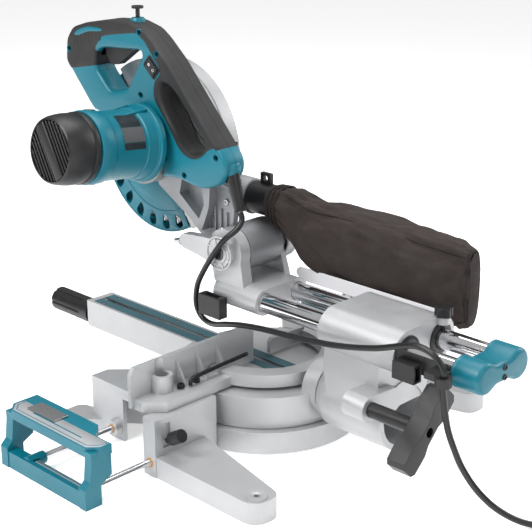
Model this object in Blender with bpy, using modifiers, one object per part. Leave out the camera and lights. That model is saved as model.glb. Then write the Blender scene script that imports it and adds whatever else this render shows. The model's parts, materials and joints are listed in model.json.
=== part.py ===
"""Sliding compound mitre saw with a 216 mm blade, as separate pieces on their joint axes.

Metres, +Z up. The origin is where the mitre axis meets the surface that the saw stands on.
+X is the operator's right, -Y the operator's side, and the blade's cut runs along Y.
"""

import math

import bmesh
import bpy
from mathutils import Matrix, Vector

GAP = 0.0003  # between pieces that touch
RUN = 0.001  # between pieces that turn or slide past each other

# Table and base
TABLE_Z = 0.074
DRUM_R = 0.1195  # turntable
RING_R = DRUM_R + 0.0105  # base ring under the turntable
RING_TOP = 0.031
TABLE_HALF = 0.192  # side tables
TABLE_FRONT = -0.128
FOOT_HALF = 0.227
FOOT_BACK = 0.207
FOOT_TOP = 0.0275
ARM_HALF = 0.024
ARM_FRONT = -0.352
ARM_BOTTOM = 0.034
MITRE_DEG = 45.0
GRIP_R = 0.0185
GRIP_LENGTH = 0.098

# Fence
FENCE_FRONT = -0.012
FENCE_WALL = 0.006
FENCE_TOP = 0.130
FENCE_HALF = 0.2265
FLANGE_BACK = 0.030
FLANGE_TOP = 0.0895
ARC_R = DRUM_R - 0.0215  # outer edge of the arc that joins the faces
POST = (0.181, -0.001)
POST_R = 0.0135
SUB_FENCE_SPLIT = 0.0985
SUB_FENCE = (0.162, 0.252)  # its ends, drawn out

# Kerf boards
KERF_HALF = 0.0035
BOARD_THICK = 0.0032

# Tilt and slide
TILT_DRUM_R = 0.0455
HOUSING_FRONT = 0.145
HOUSING_BACK = 0.262
POLE_X = 0.031
POLE_Z = 0.173
POLE_R = 0.0125
BUSH_WALL = 0.003
LOBE_R = POLE_R + 0.015  # housing round each pole
COVER_X = POLE_X + math.sqrt(LOBE_R**2 - 0.0212**2) + 0.0005  # strip on the housing's left side
KNOB_Z = POLE_Z + LOBE_R + 0.0015  # under the knob that locks the slide
POLE_FRONT = -0.033
CAP_FRONT = 0.335
CAP_BACK = 0.375
LEVER = (0.076, 0.110)  # X and Z of the bevel lever's stud
LEVER_HALF = 0.053

# Head
PIVOT = (-0.032, 0.230)  # Y and Z of the plunge hinge
PIN_R = 0.008
BARREL_R = 0.031
BLADE = (-0.195, 0.334)  # Y and Z of the spindle
BLADE_R = 0.108
BLADE_THICK = 0.0022
TEETH = 24
CASE_R = 0.122
CASE_WALL = 0.0032
CASE_X = (-0.028, 0.014)
GEAR_BOX = (-0.182, 0.345)  # Y and Z of the gear housing's centre
GEAR_BOX_R = 0.050
MOTOR = (-0.165, 0.355)  # Y and Z of the motor axis where it leaves the handle
MOTOR_SLOPE = 0.1
MOTOR_R = 0.045
MOTOR_END_X = 0.216
HANDLE_X = (0.018, 0.055)
BAG_BACK = 0.268
BAG_X = -COVER_X - 0.0400  # the bag hangs clear of the housing

# Extension wings
WING_FRONT = -0.130
WING_BACK = 0.042
WING_OUT = 0.337  # outer face of the right wing, drawn out
WING_TRAVEL = 0.066
ROD_R = 0.0045
ROD_Z = 0.018
ROD_Y = (-0.078, 0.027)

# Mains lead
CORD_R = 0.00375
LOOP_Y = 0.3455  # the eye behind the slide housing that holds the lead
COIL_CENTRE = (-0.040, 0.492)
COIL_R = 0.044

PARTS = "sliding_mitre_saw"
CUTTERS = "cutters"


def clear_scene():
    for obj in list(bpy.data.objects):
        bpy.data.objects.remove(obj, do_unlink=True)


def new_collection(name):
    collection = bpy.data.collections.new(name)
    bpy.context.scene.collection.children.link(collection)
    return collection


def material(name, colour, roughness, metallic=0.0):
    found = bpy.data.materials.get(name)
    if found:
        return found
    made = bpy.data.materials.new(name)
    made.use_nodes = True
    shader = made.node_tree.nodes["Principled BSDF"]
    shader.inputs["Base Color"].default_value = (*colour, 1.0)
    shader.inputs["Roughness"].default_value = roughness
    shader.inputs["Metallic"].default_value = metallic
    return made


def silver():
    return material("silver_paint", (0.62, 0.62, 0.63), 0.45, 0.3)


def teal():
    return material("teal_plastic", (0.01, 0.23, 0.29), 0.4)


def black():
    return material("black_plastic", (0.02, 0.02, 0.022), 0.5)


def chrome():
    return material("chrome_steel", (0.75, 0.75, 0.77), 0.15, 1.0)


def steel():
    return material("plain_steel", (0.55, 0.55, 0.56), 0.35, 1.0)


def rubber():
    return material("black_rubber", (0.025, 0.025, 0.027), 0.7)


def white():
    return material("pale_plastic", (0.8, 0.8, 0.82), 0.5)


def cloth():
    return material("bag_cloth", (0.08, 0.06, 0.055), 0.9)


def copper():
    return material("copper_winding", (0.6, 0.3, 0.15), 0.4, 1.0)


def finish(obj, name, paint):
    """Names a new mesh object, gives it its material and puts it in the parts collection."""
    obj.name = name
    obj.data.name = name
    if paint:
        obj.data.materials.clear()
        obj.data.materials.append(paint)
    for collection in list(obj.users_collection):
        collection.objects.unlink(obj)
    bpy.data.collections[PARTS].objects.link(obj)
    obj.data.shade_smooth()
    obj.data.set_sharp_from_angle(angle=math.radians(35))
    return obj


def box(name, low, high, paint=None):
    size = [b - a for a, b in zip(low, high)]
    middle = [(a + b) / 2 for a, b in zip(low, high)]
    bpy.ops.mesh.primitive_cube_add(size=1, location=middle)
    obj = bpy.context.object
    obj.data.transform(Matrix.Diagonal((*size, 1.0)))
    return finish(obj, name, paint)


def cone(name, start, end, radius, end_radius, paint=None, sides=24):
    """A cylinder or cone from one point to another."""
    start, end = Vector(start), Vector(end)
    bpy.ops.mesh.primitive_cone_add(
        vertices=sides, radius1=radius, radius2=end_radius, depth=(end - start).length
    )
    obj = bpy.context.object
    obj.location = (start + end) / 2
    obj.rotation_mode = "QUATERNION"
    obj.rotation_quaternion = (end - start).to_track_quat("Z", "Y")
    return finish(obj, name, paint)


def rod(name, start, end, radius, paint=None, sides=24):
    return cone(name, start, end, radius, radius, paint, sides)


def along_x(name, centre, low, high, radius, paint=None, sides=24):
    """A cylinder along X round a centre given as (Y, Z)."""
    return rod(name, (low, *centre), (high, *centre), radius, paint, sides)


def along_y(name, centre, low, high, radius, paint=None, sides=24):
    """A cylinder along Y round a centre given as (X, Z)."""
    x, z = centre
    return rod(name, (x, low, z), (x, high, z), radius, paint, sides)


def upright(name, centre, low, high, radius, paint=None, sides=24):
    """A cylinder along Z round a centre given as (X, Y)."""
    return rod(name, (*centre, low), (*centre, high), radius, paint, sides)


TURNS = {
    "X": Matrix(((0, 0, 1, 0), (1, 0, 0, 0), (0, 1, 0, 0), (0, 0, 0, 1))),
    "Y": Matrix(((1, 0, 0, 0), (0, 0, -1, 0), (0, 1, 0, 0), (0, 0, 0, 1))),
    "Z": Matrix.Identity(4),
}


def mesh_from_curve(curve):
    """Replaces a curve object with its welded mesh, in the same place."""
    bpy.context.view_layer.update()
    graph = bpy.context.evaluated_depsgraph_get()
    mesh = bpy.data.meshes.new_from_object(curve.evaluated_get(graph))
    shape = bmesh.new()
    shape.from_mesh(mesh)
    bmesh.ops.remove_doubles(shape, verts=shape.verts, dist=1e-6)
    bmesh.ops.recalc_face_normals(shape, faces=shape.faces)
    shape.to_mesh(mesh)
    shape.free()
    obj = bpy.data.objects.new("mesh", mesh)
    obj.matrix_world = curve.matrix_world
    bpy.context.scene.collection.objects.link(obj)
    bpy.data.objects.remove(curve, do_unlink=True)
    return obj


def plate(name, axis, outline, low, high, paint=None):
    """A flat outline extruded along an axis. It is given as (Y, Z), (X, Z) or (X, Y) points."""
    data = bpy.data.curves.new("outline", "CURVE")
    data.dimensions = "2D"
    data.fill_mode = "BOTH"
    data.extrude = (high - low) / 2
    spline = data.splines.new("POLY")
    spline.points.add(len(outline) - 1)
    for point, (u, v) in zip(spline.points, outline):
        point.co = (u, v, 0, 1)
    spline.use_cyclic_u = True
    curve = bpy.data.objects.new("outline", data)
    bpy.context.scene.collection.objects.link(curve)
    middle = Vector([(low + high) / 2 if letter == axis else 0 for letter in "XYZ"])
    curve.matrix_world = Matrix.Translation(middle) @ TURNS[axis]
    return finish(mesh_from_curve(curve), name, paint)


def tube_along(name, points, radius, paint, resolution=2):
    """A wire or lead with flat ends along a list of points."""
    data = bpy.data.curves.new(name, "CURVE")
    data.dimensions = "3D"
    data.bevel_depth = radius
    data.bevel_resolution = resolution
    data.use_fill_caps = True
    spline = data.splines.new("POLY")
    spline.points.add(len(points) - 1)
    for target, point in zip(spline.points, points):
        target.co = (*point, 1)
    curve = bpy.data.objects.new(name, data)
    bpy.context.scene.collection.objects.link(curve)
    return finish(mesh_from_curve(curve), name, paint)


def turned(name, profile, place, paint=None, sides=32):
    """A profile of (radius, height) points, top to bottom, turned about the place's Z axis."""
    mesh = bpy.data.meshes.new(name)
    shape = bmesh.new()
    spots = [shape.verts.new((r, 0, h)) for r, h in profile]
    for a, b in zip(spots, spots[1:]):
        shape.edges.new((a, b))
    if profile[0][0] > 0:
        shape.edges.new((spots[-1], spots[0]))
    shape.to_mesh(mesh)
    shape.free()
    obj = bpy.data.objects.new(name, mesh)
    bpy.context.scene.collection.objects.link(obj)
    obj.matrix_world = place
    screw = obj.modifiers.new("turn", "SCREW")
    screw.steps = sides
    screw.render_steps = sides
    screw.use_merge_vertices = True
    screw.merge_threshold = 0.00005
    screw.use_normal_calculate = True
    return finish(obj, name, paint)


def hide(obj):
    """Turns a shape into a cutter or a joined guide, which isn't a piece."""
    obj.hide_render = True
    obj.display_type = "WIRE"
    for collection in list(obj.users_collection):
        collection.objects.unlink(obj)
    bpy.data.collections[CUTTERS].objects.link(obj)


def combine(obj, others, operation):
    for other in others:
        modifier = obj.modifiers.new(operation.lower(), "BOOLEAN")
        modifier.operation = operation
        modifier.solver = "EXACT"
        modifier.object = other
        hide(other)
    return obj


def join(obj, *others):
    return combine(obj, others, "UNION")


def cut(obj, *others):
    return combine(obj, others, "DIFFERENCE")


def arc(centre, radius, start, end, steps):
    """Points on an arc, from one angle to another in degrees."""
    turn = [math.radians(start + (end - start) * i / steps) for i in range(steps + 1)]
    return [(centre[0] + radius * math.cos(t), centre[1] + radius * math.sin(t)) for t in turn]


def hull(circles, steps=20):
    """The outline round a few circles, each given as (centre, radius)."""
    spots = [p for centre, radius in circles for p in arc(centre, radius, 0, 360, steps)[:-1]]
    spots = sorted(set((round(x, 7), round(y, 7)) for x, y in spots))

    def half(points):
        kept = []
        for p in points:
            while len(kept) > 1:
                (ax, ay), (bx, by) = kept[-2], kept[-1]
                if (bx - ax) * (p[1] - ay) - (by - ay) * (p[0] - ax) > 1e-12:
                    break
                kept.pop()
            kept.append(p)
        return kept[:-1]

    return half(spots) + half(spots[::-1])


def mirrored(outline):
    return [(-x, y) for x, y in reversed(outline)]


def sided(side, low, high):
    """A box's X limits on the right side, or mirrored on the left."""
    return (low, high) if side > 0 else (-high, -low)


def smooth_route(knots, spacing):
    """Evenly spaced points on a smooth curve through the knots."""
    knots = [Vector(k) for k in knots]
    line = [2 * knots[0] - knots[1], *knots, 2 * knots[-1] - knots[-2]]
    fine = []
    for p, a, b, n in zip(line, line[1:], line[2:], line[3:]):
        for i in range(24):
            t = i / 24
            fine.append(
                0.5 * (2 * a + (b - p) * t + (2 * p - 5 * a + 4 * b - n) * t**2
                       + (3 * a - p - 3 * b + n) * t**3)
            )
    fine.append(knots[-1])
    total = sum((b - a).length for a, b in zip(fine, fine[1:]))
    count = max(2, round(total / spacing))
    kept, run, target = [fine[0]], 0.0, total / count
    for a, b in zip(fine, fine[1:]):
        step = (b - a).length
        while run + step >= target - 1e-9 and len(kept) < count:
            kept.append(a.lerp(b, (target - run) / step))
            target += total / count
        run += step
    kept.append(fine[-1])
    return kept


# Base -----------------------------------------------------------------------------------


def table_outline():
    """The right side table seen from above. Its inner front edge lies along the swung arm."""
    inner_r = DRUM_R + 3 * RUN
    clear = ARM_HALF + 2.5 * RUN
    first = -MITRE_DEG + math.degrees(math.asin(clear / inner_r))
    corner = clear * math.sqrt(2) - TABLE_FRONT
    return [
        *arc((0, 0), inner_r, 8, first, 8),
        (corner, TABLE_FRONT),
        (TABLE_HALF, TABLE_FRONT),
        (TABLE_HALF, 0.017),
    ]


def wall_outline():
    """The wall under the side table's inner edges."""
    inner_r = DRUM_R + 3 * RUN
    clear = ARM_HALF + 2.5 * RUN
    first = -MITRE_DEG + math.degrees(math.asin(clear / inner_r))
    corner = clear * math.sqrt(2) - TABLE_FRONT
    wall = 0.006
    return [
        *arc((0, 0), inner_r, 8, first, 8),
        (corner, TABLE_FRONT),
        (TABLE_HALF, TABLE_FRONT),
        (TABLE_HALF, TABLE_FRONT + wall),
        (corner + wall, TABLE_FRONT + wall),
        *arc((0, 0), inner_r + wall, first + 6, 8, 8),
    ]


def rear_foot_outline():
    return [
        (0.1436, 0.028),
        (FOOT_HALF, 0.028),
        (FOOT_HALF, FOOT_BACK - 0.030),
        *arc((FOOT_HALF - 0.020, FOOT_BACK - 0.020), 0.020, 0, 90, 4),
        *arc((FOOT_HALF - 0.028, FOOT_BACK - 0.016), 0.016, 90, 160, 3),
    ]


def front_foot_outline():
    return [(0.170, -0.116), (0.1865, -0.105), (0.222, -0.146), (0.225, -0.160),
            (0.218, -0.169), (0.186, -0.169), (0.178, -0.162)]


def base_side(base, side):
    """Joins one side's table, walls and feet to the base ring."""
    def flip(outline):
        return outline if side > 0 else mirrored(outline)

    foot = flip(rear_foot_outline())
    join(
        base,
        plate("table", "Z", flip(table_outline()), TABLE_Z - 0.008, TABLE_Z),
        plate("walls", "Z", flip(wall_outline()), 0.0, TABLE_Z - 0.004),
    )
    low, high = sided(side, TABLE_HALF - 0.006, TABLE_HALF)
    outer = box("outer_wall", (low, TABLE_FRONT + 0.002, 0.0), (high, 0.020, TABLE_Z - 0.003))
    join(base, outer)
    low, high = sided(side, 0.126, FOOT_HALF + 0.001)
    join(base, box("rear_wall", (low, 0.016, 0.0), (high, 0.0375, 0.0762)))
    join(base, plate("rear_foot", "Z", foot, 0.0, FOOT_TOP))
    join(base, plate("front_foot", "Z", flip(front_foot_outline()), 0.0, 0.016))
    low, high = sided(side, TABLE_HALF - 0.004, TABLE_HALF + 0.010)
    join(base, along_x("rod_lug", (ROD_Y[0], ROD_Z), low, high, 0.011, sides=14))

    hole = (side * (FOOT_HALF - 0.0185), FOOT_BACK - 0.0165)
    join(base, upright("foot_pad", hole, FOOT_TOP - 0.002, FOOT_TOP + 0.0012, 0.013, sides=18))
    low, high = sided(side, TABLE_HALF - 0.02, TABLE_HALF + 0.02)
    cut(
        base,
        box("arch", (low, -0.066, -0.01), (high, -0.014, 0.060)),
        upright("foot_hole", hole, -0.01, 0.05, 0.0035, sides=12),
    )
    pocket = [(0.156, 0.048), (FOOT_HALF - 0.006, 0.048), (FOOT_HALF - 0.006, FOOT_BACK - 0.045),
              (0.190, FOOT_BACK - 0.045)]
    cut(base, plate("foot_pocket", "Z", flip(pocket), -0.01, FOOT_TOP - 0.005))
    low, high = sided(side, 0.05, 0.30)
    for y in ROD_Y:
        cut(base, along_x("rod_hole", (y, ROD_Z), low, high, ROD_R + GAP, sides=14))
    low, high = sided(side, 0.203, 0.215)
    cut(base, box("pillar_recess", (low, 0.034, 0.036), (high, 0.05, 0.068)))


def make_base():
    base = upright("base_casting", (0, 0), 0.002, RING_TOP, RING_R, silver(), 40)
    cut(base, upright("ring_bore", (0, 0), -0.01, 0.05, RING_R - 0.024, sides=40))
    join(base, upright("hub", (0, 0), 0.0, RING_TOP, 0.030))
    for name, low, high in (
        ("spoke_x", (-RING_R + 0.01, -0.006, 0.004), (RING_R - 0.01, 0.006, 0.024)),
        ("spoke_y", (-0.006, -RING_R + 0.01, 0.004), (0.006, RING_R - 0.01, 0.024)),
    ):
        join(base, box(name, low, high))
    for side in (1, -1):
        base_side(base, side)
    cut(
        base,
        upright("turntable_room", (0, 0), RING_TOP + GAP, 0.2, DRUM_R + 2 * RUN, sides=40),
        upright("bolt_hole", (0, 0), 0.010, 0.05, 0.0063, sides=18),
    )
    return [base]


def make_fence():
    """One casting: two faces with a rib behind them, and the arc that joins them."""
    back = FENCE_FRONT + FENCE_WALL
    right = [(0.016, 0.0775), (FENCE_HALF, 0.0775), (FENCE_HALF, FENCE_TOP - 0.008),
             (FENCE_HALF - 0.006, FENCE_TOP), (0.034, FENCE_TOP), (0.016, FENCE_TOP - 0.010)]
    fence = plate("fence", "Y", right, FENCE_FRONT, back, silver())
    low_face = [(-FENCE_HALF, 0.0775), (-0.016, 0.0775), (-0.016, SUB_FENCE_SPLIT - 0.004),
                (-0.020, SUB_FENCE_SPLIT), (-FENCE_HALF, SUB_FENCE_SPLIT)]
    ring = arc((0, 0), ARC_R, -2, 182, 24) + arc((0, 0), ARC_R - 0.023, 182, -2, 20)
    join(fence, plate("arc", "Z", ring, 0.0785, FLANGE_TOP + 0.006))
    join(fence, plate("left_face", "Y", low_face, FENCE_FRONT, back))
    for side in (1, -1):
        flange = [(ARC_R - 0.018, back - 0.004), (FENCE_HALF - 0.004, back - 0.004),
                  (FENCE_HALF - 0.004, FLANGE_BACK - 0.022), (FENCE_HALF - 0.026, FLANGE_BACK),
                  (ARC_R - 0.018, FLANGE_BACK)]
        if side < 0:
            flange = mirrored(flange)
        join(fence, plate("flange", "Z", flange, 0.0765, FLANGE_TOP))
        top = FENCE_TOP - 0.004 if side > 0 else SUB_FENCE_SPLIT - 0.002
        gusset = [(back - 0.002, FLANGE_TOP - 0.003), (back + 0.020, FLANGE_TOP - 0.003),
                  (back - 0.002, top)]
        for x in (0.084, 0.118, 0.152):
            low, high = sided(side, x - 0.0016, x + 0.0016)
            join(fence, plate("gusset", "X", gusset, low, high))
        post_top = 0.112 if side > 0 else SUB_FENCE_SPLIT - RUN
        join(fence, upright("post", (side * POST[0], POST[1]), 0.078, post_top, POST_R, sides=20))
        cut(fence, upright("post_bore", (side * POST[0], POST[1]), 0.086, 0.2, 0.0085, sides=18))
    for x in BOLT_X:
        cut(fence, upright("bolt_hole", (x, 0.010), 0.05, 0.2, 0.0033, sides=12))
    pieces = [fence]
    inner, outer = SUB_FENCE
    upper = [(-outer, SUB_FENCE_SPLIT + GAP), (-inner, SUB_FENCE_SPLIT + GAP),
             (-inner - 0.010, FENCE_TOP), (-outer + 0.006, FENCE_TOP), (-outer, FENCE_TOP - 0.008)]
    sub = plate("sub_fence_left", "Y", upper, FENCE_FRONT, back, silver())
    guide = box("guide", (-outer + 0.02, back - 0.001, 0.106), (-inner - 0.02, back + 0.003, 0.116))
    pieces.append(join(sub, guide))
    return pieces


BOLT_X = (0.160, 0.134, -0.160, -0.134)


def make_hex_wrench():
    knots = [(0.149, 0.016, 0.0915), (0.149, 0.016, 0.096), (0.143, 0.015, 0.0995),
             (0.100, 0.013, 0.1005), (0.046, 0.012, 0.1015)]
    return [tube_along("hex_wrench", smooth_route(knots, 0.006), 0.0028, black(), 1)]


# Turntable ------------------------------------------------------------------------------


def make_turntable():
    table = upright("turntable", (0, 0), RING_TOP + RUN, TABLE_Z, DRUM_R, silver(), 40)
    cut(table, upright("drum_hollow", (0, 0), 0.0, TABLE_Z - 0.012, DRUM_R - 0.006, sides=32))
    join(table, upright("hub", (0, 0), RING_TOP + RUN, 0.066, 0.028))
    arm = box("arm", (-ARM_HALF, ARM_FRONT, ARM_BOTTOM), (ARM_HALF, -DRUM_R + 0.0145, TABLE_Z))
    inner = ARM_HALF - 0.0045
    cut(arm, box("arm_hollow", (-inner, ARM_FRONT + 0.006, 0.0), (inner, -DRUM_R - 0.0045, TABLE_Z - 0.0075)))
    boss = along_y("tilt_boss", (0, TABLE_Z), ARC_R + 0.0015, DRUM_R + 0.003, 0.036)
    join(table, arm, boss)
    board_top = TABLE_Z - BOARD_THICK - GAP
    cut(
        table,
        box("blade_slot", (-0.012, ARM_FRONT + 0.014, 0.060), (0.012, 0.045, 0.2)),
        box("board_recess", (-0.0197, ARM_FRONT + 0.010, board_top), (0.0197, 0.048, 0.2)),
        along_y("lock_rod_hole", (0, 0.045), ARM_FRONT - 0.01, -0.10, 0.0068, sides=14),
        along_y("tilt_pin_hole", (0, TABLE_Z), 0.08, 0.2, PIN_R + GAP, sides=18),
        upright("bolt_hole", (0, 0), 0.0, 0.058, 0.0063, sides=18),
        upright("bolt_head_hole", (0, 0), 0.0553, 0.0605, 0.0105, sides=18),
    )
    bolt = upright("pivot_bolt", (0, 0), 0.0105, 0.0575, 0.006, steel(), 18)
    join(bolt, upright("head", (0, 0), 0.0556, 0.0598, 0.010, sides=6))
    pieces = [table, bolt]
    bottom = TABLE_Z - BOARD_THICK
    for name, side in (("kerf_board_right", 1), ("kerf_board_left", -1)):
        section = [(KERF_HALF, TABLE_Z), (0.0194, TABLE_Z), (0.0194, bottom),
                   (KERF_HALF + BOARD_THICK, bottom)]
        section = section if side > 0 else mirrored(section)
        board = plate(name, "Y", section, ARM_FRONT + 0.0103, 0.0477, teal())
        for y in (ARM_FRONT + 0.028, -0.190, -0.050):
            spot = (side * 0.0145, y)
            cut(board, upright("screw_seat", spot, bottom + 0.0012, 0.1, 0.0032, sides=12))
        pieces.append(board)
    return pieces


def make_mitre_lock():
    """The ribbed grip at the arm's end screws the rod against the base ring."""
    back = ARM_FRONT - RUN
    front = back - GRIP_LENGTH
    grip = along_y("mitre_grip", (0, 0.045), front, back - 0.012, GRIP_R, black(), 24)
    collar = along_y("collar", (0, 0.045), back - 0.014, back, 0.012)
    nose = cone("nose", (0, front + 0.001, 0.045), (0, front - 0.004, 0.045), GRIP_R, 0.014)
    lock_rod = along_y("lock_rod", (0, 0.045), back - 0.01, -0.121, 0.006)
    join(grip, collar, nose, lock_rod)
    for i in range(6):
        turn = math.radians(60 * i)
        x, z = GRIP_R * math.cos(turn), GRIP_R * math.sin(turn)
        groove = along_y("groove", (x * 1.06, 0.045 + z * 1.06), front - 0.01, back - 0.03, 0.003,
                         sides=8)
        cut(grip, groove)
    lever = box("mitre_latch", (-0.009, ARM_FRONT - 0.010, 0.024), (0.009, -0.300, 0.029), black())
    join(lever, along_x("latch_pivot", (-0.320, 0.029), -0.009, 0.009, 0.004, sides=12))
    return [grip], [lever]


# Tilt arm and slide ---------------------------------------------------------------------


def pole_outline(radius):
    """The outline round both poles, from their height and spacing."""
    return hull([((-POLE_X, POLE_Z), radius), ((POLE_X, POLE_Z), radius)], 24)


def make_tilt_arm():
    start = DRUM_R + 0.003 + RUN
    centre = Matrix.Translation((0, 0, TABLE_Z)) @ Matrix.Rotation(math.radians(90), 4, "X")
    back = HOUSING_BACK - 0.026
    profile = [(0, -start), (0.030, -start), (0.040, -start - 0.004), (0.0445, -start - 0.010),
               (TILT_DRUM_R, -start - 0.017), (TILT_DRUM_R, -back), (0, -back)]
    arm = turned("tilt_arm", profile, centre, silver(), 32)
    cut(arm, along_y("hollow", (0, TABLE_Z), 0.152, 0.4, TILT_DRUM_R - 0.007))
    pillar = [(-0.043, 0.088), (0.043, 0.088), (0.050, 0.122), (0.048, 0.160), (-0.048, 0.160),
              (-0.050, 0.122)]
    join(arm, plate("pillar", "Y", pillar, HOUSING_FRONT + 0.003, back - 0.002))
    join(arm, plate("housing", "Y", pole_outline(LOBE_R), HOUSING_FRONT, HOUSING_BACK))
    lug = hull([((0.034, 0.108), 0.0155), (LEVER, 0.016)], 16)
    join(arm, plate("lever_lug", "Y", lug, back - 0.022, back + 0.010))
    knob_at = (-POLE_X, HOUSING_BACK + 0.003)
    join(arm, upright("knob_boss", knob_at, KNOB_Z - 0.0095, KNOB_Z - 0.0005, 0.008, sides=14))
    join(arm, box("knob_arm", (-POLE_X - 0.008, HOUSING_BACK - 0.01, KNOB_Z - 0.0095),
                  (-POLE_X + 0.008, HOUSING_BACK + 0.003, KNOB_Z - 0.0035)))
    for x in (-POLE_X, POLE_X):
        cut(arm, along_y("pole_bore", (x, POLE_Z), 0.1, 0.4, POLE_R + BUSH_WALL + 2 * GAP, sides=20))
    cut(
        arm,
        along_y("pin_hole", (0, TABLE_Z), 0.10, 0.16, PIN_R + GAP, sides=18),
        along_y("stud_hole", LEVER, 0.2, 0.4, 0.0075, sides=14),
        upright("screw_hole", knob_at, 0.18, 0.3, 0.0035, sides=12),
    )
    pin = along_y("tilt_pin", (0, TABLE_Z), DRUM_R - 0.0145, 0.160, PIN_R, steel(), 18)
    nut = along_y("nut", (0, TABLE_Z), 0.154, 0.163, 0.014, sides=6)
    pieces = [arm]
    for name, x in (("slide_bush_left", -POLE_X), ("slide_bush_right", POLE_X)):
        bush = along_y(name, (x, POLE_Z), HOUSING_FRONT + 0.0005, HOUSING_BACK - 0.0005,
                       POLE_R + GAP + BUSH_WALL, rubber(), 20)
        pieces.append(cut(bush, along_y("bore", (x, POLE_Z), 0, 0.5, POLE_R + GAP, sides=20)))
    strip = [(0.010, 0.188), (0.018, 0.1805), (HOUSING_FRONT - RUN, 0.1805),
             (HOUSING_FRONT - RUN, 0.1942), (HOUSING_BACK - 0.016, 0.1942),
             (HOUSING_BACK - 0.016, 0.1985), (0.016, 0.1985), (0.010, 0.194)]
    pieces.append(plate("slide_cover", "X", strip, -COVER_X - 0.0025, -COVER_X, white()))
    clip = box("rear_cord_clip", (0.0520, HOUSING_BACK + GAP, 0.164), (0.0548, 0.330, 0.186), black())
    hook = box("hook", (0.054, 0.268, 0.155), (0.068, 0.300, 0.177))
    cut(hook, box("hook_gap", (0.0565, 0.2, 0.158), (0.0655, 0.4, 0.174)))
    arm_link = box("link", (0.0535, 0.318, 0.172), (0.0745, LOOP_Y - 0.005, 0.180))
    loop = upright("loop", (0.075, LOOP_Y), 0.171, 0.182, 0.010, sides=14)
    join(clip, hook, arm_link, loop)
    cut(clip, upright("loop_hole", (0.075, LOOP_Y), 0.1, 0.3, CORD_R + RUN, sides=14))
    foot = box("clip_foot", (0.050, HOUSING_BACK + GAP, 0.150), (0.0548, HOUSING_BACK + 0.003, 0.186))
    pieces.append(join(clip, foot))
    return pieces, [join(pin, nut)]


def make_slide_knob():
    at = (-POLE_X, HOUSING_BACK + 0.003)
    knob = upright("slide_lock_knob", at, KNOB_Z, KNOB_Z + 0.011, 0.0085, black(), 18)
    for i in range(5):
        turn = math.radians(72 * i)
        spot = (at[0] + 0.008 * math.cos(turn), at[1] + 0.008 * math.sin(turn))
        join(knob, upright("wing", spot, KNOB_Z + 0.0002, KNOB_Z + 0.0106, 0.0035, sides=12))
    return [join(knob, upright("screw", at, POLE_Z + POLE_R + 0.0015, KNOB_Z + 0.001, 0.003, sides=12))]


def make_bevel_lever():
    """A bow-tie grip on a stud. Both turn together."""
    tip = Vector((-0.707, 0.707))
    across = Vector((0.707, 0.707))
    centre = Vector(LEVER)
    half = [(LEVER_HALF, 0.008), (LEVER_HALF - 0.005, 0.0135), (0.024, 0.0145), (0.012, 0.010)]
    ends = [(a, w) for a, w in half] + [(-a, w) for a, w in reversed(half)]
    ends += [(-a, -w) for a, w in half] + [(a, -w) for a, w in reversed(half)]
    outline = [tuple(centre + tip * a + across * w) for a, w in ends]
    lever = plate("bevel_lever", "Y", outline, 0.306, 0.3315, black())
    join(lever, along_y("stud", LEVER, 0.215, 0.308, 0.007, sides=14))
    join(lever, along_y("collar", LEVER, HOUSING_BACK - 0.015, 0.307, 0.0095, sides=18))
    cut(lever, along_y("end_bore", LEVER, 0.322, 0.4, 0.006, sides=12))
    return [lever]


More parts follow.
